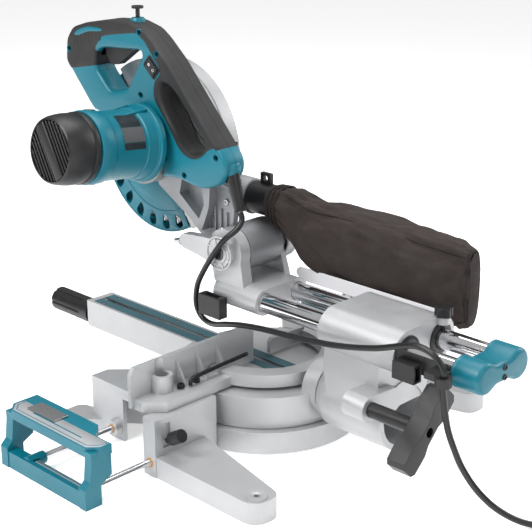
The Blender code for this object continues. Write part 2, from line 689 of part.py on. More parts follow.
def make_carriage():
    poles = []
    for name, x in (("slide_pole_left", -POLE_X), ("slide_pole_right", POLE_X)):
        pole = along_y(name, (x, POLE_Z), POLE_FRONT, CAP_FRONT + 0.004, POLE_R, chrome(), 20)
        poles.append(cut(pole, along_y("bore", (x, POLE_Z), -1, 1, POLE_R - 0.0025, sides=14)))
    lobe = POLE_R + 0.0065
    cap = plate("pole_end_cap", "Y", pole_cap_outline(), CAP_FRONT, CAP_BACK, teal())
    bracket = plate("head_bracket", "Y", pole_outline(POLE_R + 0.005), -0.048, 0.030, silver())
    for x in (-POLE_X, POLE_X):
        cut(cap, along_y("pocket", (x, POLE_Z), 0.2, CAP_FRONT + 0.004 + GAP, POLE_R + GAP, sides=20))
        cut(bracket, along_y("bore", (x, POLE_Z), POLE_FRONT - GAP, 0.2, POLE_R + GAP, sides=20))
    y, z = PIVOT
    deck_z = POLE_Z + lobe - 0.006
    for low, high, radius in ((0.0245, 0.0415, 0.030), (-0.0460, -0.0365, 0.024)):
        ear = [*arc(PIVOT, radius, -20, 200, 14), (y - 0.020, deck_z), (y + 0.034, deck_z)]
        join(bracket, plate("ear", "X", ear, low, high))
    lug = hull([(PIVOT, 0.018), ((-0.098, 0.232), 0.010)])
    join(bracket, plate("stop_lug", "X", lug, 0.0390, 0.0520))
    direction = Vector((0, -0.034, -0.0115)).normalized()
    stop_from = Vector((0.0457, -0.098, 0.232)) - direction * 0.012
    stop_to = Vector((0.0457, -0.1225, 0.2262))
    cut(bracket, rod("stop_hole", stop_from, stop_to, 0.0033, sides=12))
    cut(bracket, along_x("pin_bore", PIVOT, -0.2, 0.2, PIN_R + GAP, sides=18))
    stop = rod("depth_stop_screw", stop_from + direction * 0.001, stop_to, 0.0030, steel(), 12)
    nut_at = Vector((0.0457, -0.098, 0.232)) + direction * 0.0125
    join(stop, rod("lock_nut", nut_at, nut_at + direction * 0.004, 0.0055, sides=6))
    pin = along_x("hinge_pin", PIVOT, -0.0500, 0.0545, PIN_R, steel(), 18)
    cover = along_x("spring_cover", PIVOT, -0.0640, -0.0463, 0.030, silver(), 26)
    cut(cover, along_x("hollow", PIVOT, -0.0610, 0.0, 0.0270, sides=24))
    spring = tube_along("return_spring", spring_route(), 0.0015, steel(), 1)
    side = POLE_X + POLE_R + 0.0065
    clip = box("front_cord_clip", (side, -0.060, 0.1440), (side + 0.014, -0.020, 0.1720), black())
    cut(clip, box("hook_gap", (side + 0.0035, -0.052, 0.1500), (side + 0.0105, -0.028, 0.30)))
    return [*poles, cap, bracket, pin, stop, cover, spring, clip]


def pole_cap_outline():
    """Two lobes with a waist between them."""
    lobe = POLE_R + 0.0065
    right = [*arc((POLE_X, POLE_Z), lobe, -125, 125, 14)]
    return [(0.012, POLE_Z - 0.013), *right, (0.012, POLE_Z + 0.013),
            (-0.012, POLE_Z + 0.013), *mirrored(right), (-0.012, POLE_Z - 0.013)]


def spring_route():
    turns, steps = 2.5, 10
    count = int(turns * steps)
    y, z = PIVOT
    return [
        (-0.0590 + 0.0105 * i / count, y + 0.018 * math.cos(2 * math.pi * i / steps),
         z + 0.018 * math.sin(2 * math.pi * i / steps))
        for i in range(count + 1)
    ]


# Head -----------------------------------------------------------------------------------


def make_head_arm():
    """Hinge barrel, web and gear housing, in one casting."""
    web = [(-0.036, 0.2600), (-0.030, 0.3000), (-0.0592, 0.3078), (-0.0946, 0.3110),
           (-0.1345, 0.3308), (-0.180, 0.3480), (-0.165, 0.2920), (-0.100, 0.2380), (-0.058, 0.2140)]
    wide = [(-0.080, 0.2470), (-0.066, 0.2800), (-0.063, 0.3076), (-0.0946, 0.3106),
            (-0.1345, 0.3305), (-0.175, 0.3470), (-0.163, 0.2940)]
    arm = along_x("head_arm", PIVOT, -0.0355, 0.0235, BARREL_R, silver(), 28)
    join(arm, plate("web", "X", web, CASE_X[1] + GAP, 0.0230))
    join(arm, plate("wide", "X", wide, CASE_X[1] + 0.001, 0.0375))
    cut(arm, plate("wide_gap", "X", [(-0.085, 0.262), (-0.075, 0.283), (-0.078, 0.310),
                                     (-0.112, 0.330), (-0.122, 0.290)], 0.0225, 0.05))
    join(arm, along_x("gear_housing", GEAR_BOX, CASE_X[1] + GAP, 0.0545, GEAR_BOX_R, sides=32))
    cut(arm, along_x("gear_room", GEAR_BOX, 0.0205, 0.1, GEAR_BOX_R - 0.0045, sides=28))
    join(arm, along_x("guard_boss", BLADE, 0.0075, 0.0210, 0.0270, sides=26))
    cut(
        arm,
        along_x("bearing_seat", BLADE, 0.0095, 0.0300, 0.0153, sides=20),
        along_x("spindle_hole", BLADE, -0.05, 0.0300, 0.0105, sides=20),
        along_x("pin_hole", PIVOT, -0.2, 0.2, PIN_R + GAP, sides=18),
    )
    bearing = along_x("spindle_bearing", BLADE, 0.0098, 0.0190, 0.0150, steel(), 20)
    cut(bearing, along_x("bore", BLADE, -0.1, 0.1, 0.0083, sides=20))
    return [arm, bearing]


def make_blade_case():
    """The fixed upper cover: a drum segment, open along its lower front edge."""
    low, high = CASE_X
    case = plate("blade_case", "X", arc(BLADE, CASE_R, -55, 125, 30), low, high, silver())
    room = [*arc(BLADE, CASE_R - CASE_WALL, -75, 145, 36), (BLADE[0] - 0.06, BLADE[1] - 0.09)]
    cut(case, plate("room", "X", room, low + 0.0025, high - 0.0025))
    cut(case, along_x("boss_hole", BLADE, 0.0, 0.1, 0.0280, sides=26))
    return [case]


def make_lower_guard():
    """A thin cover round the blade's exposed edge, open towards the spindle."""
    start, end = 122, 303
    outer = CASE_R - CASE_WALL - 0.0012
    band = arc(BLADE, outer, start, end, 24) + arc(BLADE, 0.040, end, start, 14)
    guard = plate("lower_guard", "X", band, -0.0240, 0.0102, teal())
    room = arc(BLADE, outer - 0.0028, start - 6, end + 6, 26) + arc(BLADE, 0.015, end + 6, start - 6, 8)
    cut(guard, plate("room", "X", room, -0.0222, 0.0084))
    cut(guard, along_x("far_gap", BLADE, -0.1, 0.0, 0.060, sides=28))
    join(guard, along_x("ring", BLADE, 0.0085, 0.0101, 0.0450, sides=28))
    cut(guard, along_x("ring_hole", BLADE, 0.0, 0.1, 0.0276, sides=26))
    return [guard]


def make_blade():
    tooth = 2 * math.pi / TEETH
    outline = []
    for i in range(TEETH):
        for share, radius in ((0.0, BLADE_R), (0.16, BLADE_R - 0.0005), (0.24, BLADE_R - 0.0055)):
            turn = (i + share) * tooth
            outline.append((BLADE[0] + radius * math.cos(turn), BLADE[1] + radius * math.sin(turn)))
    half = BLADE_THICK / 2
    disc = plate("blade", "X", outline, -half, half, steel())
    cut(disc, along_x("arbor", BLADE, -0.1, 0.1, 0.0083, sides=20))
    spindle = along_x("spindle", BLADE, -0.0060, 0.0470, 0.0080, steel(), 20)
    join(spindle, along_x("inner_flange", BLADE, half + GAP, 0.0070, 0.0200, sides=24))
    outer = along_x("outer_flange", BLADE, -0.0058, -half - GAP, 0.0200, steel(), 24)
    cut(outer, along_x("bore", BLADE, -0.1, 0.1, 0.0083, sides=20))
    bolt = along_x("blade_bolt", BLADE, -0.0125, -0.0063, 0.0095, steel(), 6)
    join(spindle, along_x("drive_gear", BLADE, 0.0235, 0.0335, 0.0262, sides=28))
    return [disc, spindle, outer, bolt]


def on_motor_axis(x):
    return Vector((x, MOTOR[0], MOTOR[1] + MOTOR_SLOPE * (x - HANDLE_X[1])))


def motor_rod(name, start, end, radius, paint=None, sides=28):
    return rod(name, on_motor_axis(start), on_motor_axis(end), radius, paint, sides)


def make_motor():
    start = HANDLE_X[1] + 0.0015 + 0.1 * MOTOR_R
    seam = 0.166
    housing = motor_rod("motor_housing", start, seam, MOTOR_R, teal(), 32)
    cut(housing, motor_rod("motor_room", start - 0.02, seam + 0.02, MOTOR_R - 0.004, sides=28))
    cap = motor_rod("motor_end_cap", seam + GAP, MOTOR_END_X, MOTOR_R - 0.001, black(), 32)
    cut(cap, motor_rod("cap_room", seam - 0.02, MOTOR_END_X - 0.004, MOTOR_R - 0.005, sides=28))
    rotor = motor_rod("armature", 0.072, 0.138, 0.026, copper(), 20)
    join(rotor, motor_rod("shaft", 0.0250, 0.180, 0.0045, sides=14))
    join(rotor, motor_rod("pinion", 0.0245, 0.0340, 0.0085, sides=14))
    join(rotor, motor_rod("commutator", 0.140, 0.162, 0.015, sides=18))
    return [housing, cap], [rotor]


def handle_outline():
    """The handle seen from the right: front leg, grip, rear carry bar and lower body."""
    return [
        (-0.2760, 0.3795), (-0.3230, 0.4307), (-0.3336, 0.4425), (-0.3300, 0.4740),
        (-0.3162, 0.4905), (-0.2880, 0.4990), (-0.2433, 0.5070), (-0.1960, 0.5095),
        (-0.1661, 0.5024), (-0.1495, 0.4917), (-0.1185, 0.4654), (-0.0820, 0.4256),
        (-0.0344, 0.3753), (-0.0153, 0.3550), (-0.0150, 0.3370), (-0.0277, 0.3205),
        (-0.0592, 0.3088), (-0.0946, 0.3121), (-0.1338, 0.3322), (-0.2000, 0.3550),
    ]


HAND_GAP = [(-0.2664, 0.4633), (-0.2680, 0.4401), (-0.2391, 0.4117), (-0.2050, 0.4188),
            (-0.1714, 0.4678), (-0.1744, 0.4741), (-0.2516, 0.4690)]
CARRY_GAP = [(-0.1358, 0.4394), (-0.1133, 0.4338), (-0.0500, 0.3670), (-0.0720, 0.3512),
             (-0.0950, 0.3562), (-0.1385, 0.4170)]
TRIGGER_PIVOT = (-0.1985, 0.4775)
SWITCH = (-0.1510, 0.4555)
SWITCH_TURN = math.radians(-42)
PIN_Y = -0.1970
GUARD_FROM = Vector((0.0365, -0.0245, 0.3420))
GUARD_TO = Vector((0.0365, -0.0085, 0.2880))


def slanted_box(name, centre, length, width, low, high, turn, paint=None):
    """A block through X, with its length turned in the YZ plane."""
    y, z = centre
    c, s = math.cos(turn), math.sin(turn)
    corners = [(-length, -width), (length, -width), (length, width), (-length, width)]
    outline = [(y + (a * c - b * s) / 2, z + (a * s + b * c) / 2) for a, b in corners]
    return plate(name, "X", outline, low, high, paint)


def make_handle():
    low, high = HANDLE_X
    middle = (low + high) / 2
    pieces = []
    for name, x0, x1 in (("handle_left", low, middle - GAP / 2), ("handle_right", middle + GAP / 2, high)):
        shell = plate(name, "X", handle_outline(), x0, x1, teal())
        axis = (GUARD_TO - GUARD_FROM).normalized()
        room = [(-0.2690, 0.4560), (-0.1930, 0.4600), (-0.1900, 0.4860), (-0.2690, 0.4860)]
        cut(
            shell,
            plate("hand_gap", "X", HAND_GAP, 0.0, 0.1),
            plate("carry_gap", "X", CARRY_GAP, 0.0, 0.1),
            along_x("gear_gap", GEAR_BOX, 0.0, 0.1, GEAR_BOX_R + 0.0005, sides=32),
            plate("trigger_room", "X", room, middle - 0.0075, middle + 0.0075),
            upright("button_hole", (middle, PIN_Y), 0.480, 0.6, 0.0033, sides=12),
            rod("guard_socket", GUARD_FROM - axis * 0.001, GUARD_TO, 0.0108, sides=18),
        )
        if name == "handle_right":
            cut(shell, slanted_box("switch_hole", SWITCH, 0.0235, 0.0160, high - 0.0065, 0.1,
                                   SWITCH_TURN))
        pieces.append(shell)
    guard = cone("cord_guard", GUARD_FROM, GUARD_TO, 0.0102, 0.0068, rubber(), 18)
    lip = rod("lip", GUARD_TO - axis * 0.002, GUARD_TO, 0.0080, sides=18)
    pieces.append(join(guard, lip))

    y, z = TRIGGER_PIVOT
    outline = [(-0.2600, 0.4720), (-0.2585, 0.4590), (-0.2480, 0.4460), (-0.2340, 0.4475),
               (-0.1960, 0.4725), (-0.1960, 0.4800), (-0.2040, 0.4800)]
    trigger = plate("trigger", "X", outline, middle - 0.0065, middle + 0.0065, black())
    button = upright("lock_off_button", (middle, PIN_Y), 0.4925, 0.5270, 0.0029, black(), 12)
    join(button, upright("button_head", (middle, PIN_Y), 0.5250, 0.5282, 0.0080, sides=18))
    rocker = slanted_box("light_switch", SWITCH, 0.0205, 0.0140, high - 0.0045, high + 0.0015,
                         SWITCH_TURN, black())
    return pieces, [trigger], [button], [rocker]


def make_dust_port():
    """The chute behind the case, the pipe on it and the clip over the pipe."""
    centre = Vector((-0.034, -0.052, 0.2850))
    way = Vector((0, 1, 0))
    chute = rod("dust_chute", centre - way * 0.030, centre, 0.0240, silver(), 24)
    duct = [(-0.076, 0.2640), (-0.056, 0.2690), (-0.056, 0.2990), (-0.072, 0.3060), (-0.092, 0.2860)]
    join(chute, plate("duct", "X", duct, -0.0400, CASE_X[0] + 0.012))
    case_room = along_x("case_room", BLADE, CASE_X[0] - GAP, CASE_X[1] + GAP, CASE_R + GAP, sides=64)
    barrel_room = along_x("barrel_room", PIVOT, -0.1, 0.1, BARREL_R + RUN, sides=28)
    cut(chute, case_room, barrel_room)
    pipe = rod("dust_pipe", centre + way * GAP, centre + way * 0.036, 0.0215, black(), 24)
    cut(pipe, rod("bore", centre - way * 0.01, centre + way * 0.1, 0.0190, sides=20))
    spot = centre + way * 0.022
    clip = box("bag_clip", (spot.x - 0.003, spot.y - 0.009, spot.z + 0.0205),
               (spot.x + 0.003, spot.y + 0.009, spot.z + 0.0360), black())
    cut(clip, along_x("clip_eye", (spot.y, spot.z + 0.029), -0.2, 0.2, 0.0042, sides=12))
    join(pipe, clip)
    return [chute, pipe], centre + way * 0.037


def make_dust_bag(mouth):
    """A soft bag: rings from the round mouth to a tall, flat end."""
    sections = [
        (mouth.y, mouth.x, mouth.z, 0.0215, 0.0215),
        (mouth.y + 0.030, mouth.x - 0.014, mouth.z - 0.016, 0.027, 0.034),
        (mouth.y + 0.051, BAG_X + 0.025, 0.2440, 0.031, 0.0465),
        (0.075, BAG_X + 0.006, 0.2325, 0.034, 0.053),
        (0.150, BAG_X, 0.2255, 0.036, 0.0575),
        (0.220, BAG_X, 0.2225, 0.034, 0.0555),
        (BAG_BACK - 0.012, BAG_X + 0.002, 0.2215, 0.024, 0.053),
        (BAG_BACK, BAG_X + 0.003, 0.2215, 0.010, 0.046),
    ]
    around = 20
    shape = bmesh.new()
    rings = []
    for y, x, z, half_width, half_height in sections:
        rings.append([
            shape.verts.new((x + half_width * math.cos(t), y, z + half_height * math.sin(t)))
            for t in (2 * math.pi * i / around for i in range(around))
        ])
    for one, two in zip(rings, rings[1:]):
        for i in range(around):
            j = (i + 1) % around
            shape.faces.new((one[i], two[i], two[j], one[j]))
    shape.faces.new(rings[0])
    shape.faces.new(reversed(rings[-1]))
    bmesh.ops.recalc_face_normals(shape, faces=shape.faces)
    mesh = bpy.data.meshes.new("dust_bag")
    shape.to_mesh(mesh)
    shape.free()
    obj = bpy.data.objects.new("dust_bag", mesh)
    bpy.context.scene.collection.objects.link(obj)
    return [finish(obj, "dust_bag", cloth())]


# Wings ----------------------------------------------------------------------------------


def make_wing(side):
    """An extension wing. The left one is pushed in, so it sits nearer the table."""
    label = "right" if side > 0 else "left"
    shift = 0.0 if side > 0 else -WING_TRAVEL
    out = WING_OUT + shift

    def piece(name, low, high, paint=None):
        x0, x1 = sided(side, low[0] + out, high[0] + out)
        return box(name, (x0, *low[1:]), (x1, *high[1:]), paint)

    def panel(name, points, y0, y1):
        outline = [(x + out, z) for x, z in points]
        return plate(name, "Y", outline if side > 0 else mirrored(outline), y0, y1)

    top = [(-0.060, WING_FRONT), (-0.024, WING_FRONT), (-0.011, WING_FRONT + 0.014),
           (-0.011, WING_BACK - 0.014), (-0.024, WING_BACK), (-0.040, WING_BACK),
           (-0.040, 0.012), (-0.060, -0.008)]
    top = [(x + out, y) for x, y in top]
    top = top if side > 0 else mirrored(top)
    wing = plate(f"wing_{label}", "Z", top, TABLE_Z - 0.012, TABLE_Z, teal())
    ends = [(-0.024, 0.0), (0.0, 0.0), (0.0, 0.026), (-0.008, 0.034), (-0.011, 0.060),
            (-0.011, 0.070), (-0.040, 0.070), (-0.040, 0.034), (-0.024, 0.026)]
    join(wing, panel("rear_end", ends, WING_BACK - 0.014, WING_BACK - 0.002))
    join(wing, panel("front_end", ends, WING_FRONT + 0.002, WING_FRONT + 0.016))
    join(wing, piece("sill", (-0.016, WING_FRONT + 0.003, 0.0), (-0.001, WING_BACK - 0.003, 0.022)))
    for y in ROD_Y:
        join(wing, along_x("rod_boss", (y, ROD_Z), *sided(side, out - 0.028, out - 0.003), 0.008,
                           sides=14))
        cut(wing, along_x("rod_seat", (y, ROD_Z), *sided(side, out - 0.2, out - 0.008),
                          ROD_R + GAP, sides=14))
    x0, x1 = sided(side, out - 0.0170, out - 0.0080)
    cut(wing, box("bar_room", (x0, ROD_Y[0] - 0.001, 0.001), (x1, ROD_Y[1] + 0.001, ROD_Z + 0.0045)))
    pieces = [wing]
    x0, x1 = sided(side, RING_R + WING_TRAVEL + shift, out - 0.0085)
    front, back = (along_x(f"wing_rods_{label}", (y, ROD_Z), x0, x1, ROD_R, chrome(), 14)
                   for y in ROD_Y)
    bar_x = side * (out - 0.0125)
    bar = rod("cross_bar", (bar_x, ROD_Y[0], ROD_Z), (bar_x, ROD_Y[1], ROD_Z), 0.0040, sides=12)
    pieces.append(join(front, back, bar))
    if side < 0:
        return pieces, []
    low, high = (out - 0.048, -0.104, TABLE_Z + GAP), (out - 0.026, -0.050, TABLE_Z + 0.0022)
    return pieces, [box(f"flip_stop_{label}", low, high, steel())]


def make_wing_screws():
    """Ribbed thumb screws that lean out of the rear wall and clamp the wings' rods."""
    screws = []
    for name, x in (("wing_screw_right", 0.209), ("wing_screw_left", -0.209)):
        base = Vector((x, 0.0385, 0.0450))
        way = Vector((0, 0.86, 0.5)).normalized()
        screw = rod(name, base, base + way * 0.012, 0.004, black(), 12)
        join(screw, rod("thumb_grip", base + way * 0.010, base + way * 0.031, 0.0085, sides=12))
        screws.append(screw)
    return screws


# Mains lead -----------------------------------------------------------------------------

# The lead's route from the handle to the bench, in stretches that end where it is held
LEAD = {
    "lead_head": [(0.0365, -0.0081, 0.2869), (0.0365, -0.0055, 0.2780), (0.0440, -0.0060, 0.2670),
                  (0.0560, -0.0180, 0.2520), (0.0600, -0.0350, 0.2290), (0.0595, -0.0530, 0.2040),
                  (0.0580, -0.0670, 0.1810), (0.0570, -0.0720, 0.1600), (0.0570, -0.0700, 0.1470)],
    "lead_slide": [(0.0572, -0.0620, 0.1370), (0.0590, -0.0480, 0.1330), (0.0640, -0.0280, 0.1365),
                   (0.0700, -0.0020, 0.1455), (0.0745, 0.0300, 0.1545), (0.0760, 0.0700, 0.1610),
                   (0.0760, 0.1320, 0.1665), (0.0755, 0.1900, 0.1740), (0.0750, 0.2450, 0.1865),
                   (0.0750, 0.2850, 0.2010), (0.0750, 0.3080, 0.2075), (0.0750, 0.3280, 0.2050),
                   (0.0750, 0.3410, 0.1960), (0.0750, LOOP_Y, 0.1860)],
    "lead_tilt": [(0.0750, LOOP_Y, 0.1700), (0.0750, 0.3490, 0.1450), (0.0735, 0.3540, 0.1200),
                  (0.0700, 0.3610, 0.0980)],
    "lead_mitre": [(0.0645, 0.3690, 0.0760), (0.0550, 0.3810, 0.0520), (0.0430, 0.3950, 0.0320),
                   (0.0300, 0.4090, 0.0180), (0.0170, 0.4220, 0.0090)],
    "lead_floor": [(0.0050, 0.4330, 0.0048), (-0.0080, 0.4400, 0.0041), (-0.0200, 0.4440, 0.0041)],
}


def lead_stretches():
    """The named stretches of one smooth route, each a little short of the next."""
    route = smooth_route([knot for knots in LEAD.values() for knot in knots], 0.012)
    first, stretches = 0, {}
    for name, knots in LEAD.items():
        end = Vector(knots[-1])
        last = min(range(len(route)), key=lambda i: (route[i] - end).length)
        points = [point.copy() for point in route[first:last + 1]]
        for tip, inner in ((0, 1), (-1, -2)):
            points[tip] += (points[inner] - points[tip]).normalized() * 0.0012
        stretches[name] = points
        first = last
    return stretches


def make_lead():
    """Each stretch of the lead between two holding points, then the coil and the plug."""
    pieces = {}
    for name, points in lead_stretches().items():
        pieces[name] = [tube_along(name, points, CORD_R, rubber())]
    width, height = 0.0115, 0.0238
    ring = [(COIL_R - width, height), (COIL_R + width, height), (COIL_R + width, 0.0),
            (COIL_R - width, 0.0)]
    place = Matrix.Translation((*COIL_CENTRE, 0.0003))
    coil = turned("lead_coil", ring, place, rubber(), 26)
    y = COIL_CENTRE[1] + COIL_R
    z = height + 0.0125
    plug = rod("plug", (COIL_CENTRE[0] - 0.010, y, z), (COIL_CENTRE[0] + 0.032, y, z), 0.0120,
               rubber(), 14)
    for side in (1, -1):
        spot = (y + side * 0.007, z)
        join(plug, along_x("prong", spot, COIL_CENTRE[0] + 0.029, COIL_CENTRE[0] + 0.050, 0.0024,
                           sides=12))
    pieces["coil"] = [join(coil, *pieces.pop("lead_floor")), plug]
    return pieces


# Assembly -------------------------------------------------------------------------------


def axis(name, place, parent=None):
    """An empty on a joint's axis. A moving group's pieces hang on it."""
    empty = bpy.data.objects.new(name, None)
    empty.empty_display_size = 0.02
    bpy.data.collections[PARTS].objects.link(empty)
    empty.location = place
    bpy.context.view_layer.update()
    attach([empty], parent)
    return empty


def attach(pieces, parent):
    """Parents pieces to an axis and leaves them where they are."""
    if parent is None:
        return
    bpy.context.view_layer.update()
    for piece in pieces:
        piece.parent = parent
        piece.matrix_parent_inverse = parent.matrix_world.inverted()


def build():
    clear_scene()
    new_collection(PARTS)
    new_collection(CUTTERS)
    base = axis("base_axis", (0, 0, 0))
    mitre = axis("mitre_axis", (0, 0, 0), base)
    bevel = axis("bevel_axis", (0, 0, TABLE_Z), mitre)
    slide = axis("slide_axis", (0, 0, POLE_Z), bevel)
    plunge = axis("plunge_axis", (0, *PIVOT), slide)
    spin = axis("spindle_axis", (0, *BLADE), plunge)
    guard = axis("guard_axis", (0, *BLADE), plunge)
    motor = axis("armature_axis", on_motor_axis(0.1), plunge)

    fence = make_fence()
    sub_fence = fence.pop(1)
    attach(make_base() + fence + make_hex_wrench(), base)
    for screw in make_wing_screws():
        attach([screw], axis(f"{screw.name}_axis", screw.location, base))
    attach([sub_fence], axis("sub_fence_axis", (0, 0, 0), base))
    lead = make_lead()
    attach(lead["coil"], base)

    grip, latch = make_mitre_lock()
    tilt_pieces, tilt_pin = make_tilt_arm()
    attach(make_turntable() + tilt_pin + lead["lead_mitre"], mitre)
    attach(grip, axis("grip_axis", (0, ARM_FRONT, 0.045), mitre))
    attach(latch, axis("latch_axis", (0, -0.320, 0.029), mitre))

    attach(tilt_pieces + lead["lead_tilt"], bevel)
    attach(make_bevel_lever(), axis("bevel_lever_axis", (LEVER[0], 0.31, LEVER[1]), bevel))
    knob_at = (-POLE_X, HOUSING_BACK + 0.003, 0.2)
    attach(make_slide_knob(), axis("slide_knob_axis", knob_at, bevel))

    attach(make_carriage() + lead["lead_slide"], slide)
    shells, trigger, button, rocker = make_handle()
    housing, rotor = make_motor()
    port, mouth = make_dust_port()
    head = make_head_arm() + make_blade_case() + shells + housing + port + make_dust_bag(mouth)
    attach(head + lead["lead_head"], plunge)
    attach(make_blade(), spin)
    attach(make_lower_guard(), guard)
    attach(rotor, motor)
    middle = sum(HANDLE_X) / 2
    attach(trigger, axis("trigger_axis", (middle, *TRIGGER_PIVOT), plunge))
    attach(button, axis("button_axis", (middle, PIN_Y, 0.51), plunge))
    attach(rocker, axis("light_switch_axis", (HANDLE_X[1], *SWITCH), plunge))

    for side, label in ((1, "right"), (-1, "left")):
        wing, stop = make_wing(side)
        slide_axis = axis(f"wing_axis_{label}", (side * WING_OUT, 0, 0), base)
        attach(wing, slide_axis)
        if stop:
            attach(stop, axis("flip_stop_axis", (WING_OUT - 0.026, -0.077, TABLE_Z + 0.0012), slide_axis))


build()
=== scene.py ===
"""Looks of a corded 216 mm sliding mitre saw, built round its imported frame."""

import json
import math

import bmesh
import bpy
from mathutils import Matrix, Vector, noise

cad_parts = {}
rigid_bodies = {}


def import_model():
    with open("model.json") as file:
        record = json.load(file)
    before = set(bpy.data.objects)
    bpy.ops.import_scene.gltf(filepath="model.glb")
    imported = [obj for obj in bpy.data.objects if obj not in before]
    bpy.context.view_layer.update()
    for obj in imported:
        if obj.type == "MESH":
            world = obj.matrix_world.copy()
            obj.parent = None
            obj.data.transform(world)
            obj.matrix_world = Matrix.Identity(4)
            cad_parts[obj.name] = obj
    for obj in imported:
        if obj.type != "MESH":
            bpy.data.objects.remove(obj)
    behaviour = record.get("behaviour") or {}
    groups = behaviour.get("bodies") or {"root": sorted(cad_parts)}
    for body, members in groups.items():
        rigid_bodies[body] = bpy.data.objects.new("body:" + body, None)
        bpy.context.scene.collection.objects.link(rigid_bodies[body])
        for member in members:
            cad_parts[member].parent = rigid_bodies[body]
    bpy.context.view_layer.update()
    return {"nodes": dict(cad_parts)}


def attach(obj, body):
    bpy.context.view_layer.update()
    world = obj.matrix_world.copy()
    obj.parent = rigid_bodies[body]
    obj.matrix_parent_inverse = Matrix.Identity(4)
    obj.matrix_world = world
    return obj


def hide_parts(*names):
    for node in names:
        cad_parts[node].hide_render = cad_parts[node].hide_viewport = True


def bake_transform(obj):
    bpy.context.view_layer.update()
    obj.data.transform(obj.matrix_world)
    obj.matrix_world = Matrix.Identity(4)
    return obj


for old in list(bpy.data.objects):
    bpy.data.objects.remove(old, do_unlink=True)

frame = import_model()

PIVOT = (-0.032, 0.230)
BLADE = (-0.195, 0.334)
GEAR_BOX = (-0.182, 0.345)
MOTOR = (-0.165, 0.355)
POLE_X, POLE_Z = 0.031, 0.173
HINGE_FACE = 0.0520
PIN_FACE = 0.0545
CASE_FACE = 0.0142
CASE_R, CASE_WALL, GUARD_GAP = 0.122, 0.0032, 0.0012


# Materials ------------------------------------------------------------------------------


def material(name, colour, roughness, metallic=0.0, grain=None, vary=0.06, coat=0.0, weave=None):
    """A Principled material with a fine surface grain and slow changes of tone and roughness."""
    made = bpy.data.materials.new(name)
    made.use_nodes = True
    tree = made.node_tree
    shader = tree.nodes["Principled BSDF"]
    shader.inputs["Metallic"].default_value = metallic
    shader.inputs["Coat Weight"].default_value = coat
    shader.inputs["Coat Roughness"].default_value = 0.15
    place = tree.nodes.new("ShaderNodeTexCoord")

    def spots(scale, detail, low, high, target, steep=(0.3, 0.7)):
        texture = tree.nodes.new("ShaderNodeTexNoise")
        texture.inputs["Scale"].default_value = scale
        texture.inputs["Detail"].default_value = detail
        tree.links.new(place.outputs["Object"], texture.inputs["Vector"])
        ramp = tree.nodes.new("ShaderNodeMapRange")
        ramp.inputs["From Min"].default_value, ramp.inputs["From Max"].default_value = steep
        ramp.inputs["To Min"].default_value, ramp.inputs["To Max"].default_value = low, high
        tree.links.new(texture.outputs["Fac"], ramp.inputs["Value"])
        if target is not None:
            tree.links.new(ramp.outputs["Result"], target)
        return ramp.outputs["Result"]

    tone = spots(14, 4, 1 - vary, 1 + vary, None)
    mix = tree.nodes.new("ShaderNodeVectorMath")
    mix.operation = "SCALE"
    mix.inputs[0].default_value = colour
    tree.links.new(tone, mix.inputs["Scale"])
    tree.links.new(mix.outputs["Vector"], shader.inputs["Base Color"])
    spots(40, 3, roughness * 0.85, min(1, roughness * 1.15), shader.inputs["Roughness"])
    if grain:
        scale, height = grain
        bump = tree.nodes.new("ShaderNodeBump")
        bump.inputs["Strength"].default_value = 1.0
        bump.inputs["Distance"].default_value = height
        tree.links.new(spots(scale, 2, 0, 1, None), bump.inputs["Height"])
        tree.links.new(bump.outputs["Normal"], shader.inputs["Normal"])
        if weave:
            waves = []
            for turn in ((0, 0, 0), (math.radians(90), 0, 0)):
                turned_place = tree.nodes.new("ShaderNodeMapping")
                turned_place.inputs["Rotation"].default_value = turn
                tree.links.new(place.outputs["Object"], turned_place.inputs["Vector"])
                wave = tree.nodes.new("ShaderNodeTexWave")
                wave.bands_direction = "Z"
                wave.inputs["Scale"].default_value = weave
                wave.inputs["Distortion"].default_value = 0.4
                tree.links.new(turned_place.outputs["Vector"], wave.inputs["Vector"])
                waves.append(wave)
            both = tree.nodes.new("ShaderNodeMath")
            both.operation = "ADD"
            for i, wave in enumerate(waves):
                tree.links.new(wave.outputs["Fac"], both.inputs[i])
            second = tree.nodes.new("ShaderNodeBump")
            second.inputs["Distance"].default_value = 0.00015
            tree.links.new(both.outputs["Value"], second.inputs["Height"])
            tree.links.new(bump.outputs["Normal"], second.inputs["Normal"])
            tree.links.new(second.outputs["Normal"], shader.inputs["Normal"])
    return made


SILVER = material("cast_paint", (0.50, 0.505, 0.515), 0.38, 0.45, (900, 0.00012), 0.03)
CAST = material("bare_casting", (0.30, 0.305, 0.32), 0.42, 0.6, (500, 0.0002), 0.06)
TEAL = material("teal_moulding", (0.0, 0.155, 0.215), 0.38, 0.0, (1500, 0.00004), 0.04)
TEAL_DARK = material("teal_board", (0.035, 0.10, 0.125), 0.55, 0.0, (1200, 0.00008), 0.06)
BLACK = material("black_moulding", (0.009, 0.009, 0.010), 0.40, 0.0, (1200, 0.00006), 0.1)
GRIP = material("soft_black", (0.016, 0.016, 0.0165), 0.58, 0.0, (700, 0.0002), 0.1)
GLOSS = material("gloss_black", (0.006, 0.006, 0.007), 0.2, 0.0, (60, 0.00003), 0.05)
GREY = material("grey_cover", (0.20, 0.205, 0.215), 0.5, 0.1, (700, 0.0001), 0.06)
CHROME = material("polished_steel", (0.78, 0.78, 0.80), 0.07, 1.0, (60, 0.00001), 0.02)
STEEL = material("machined_steel", (0.50, 0.50, 0.51), 0.3, 1.0, (350, 0.00005), 0.08)
DARK_STEEL = material("blackened_steel", (0.035, 0.035, 0.037), 0.35, 0.8, (400, 0.00006), 0.1)
RUBBER = material("lead_rubber", (0.008, 0.008, 0.0085), 0.34, 0.0, (800, 0.00005), 0.08)
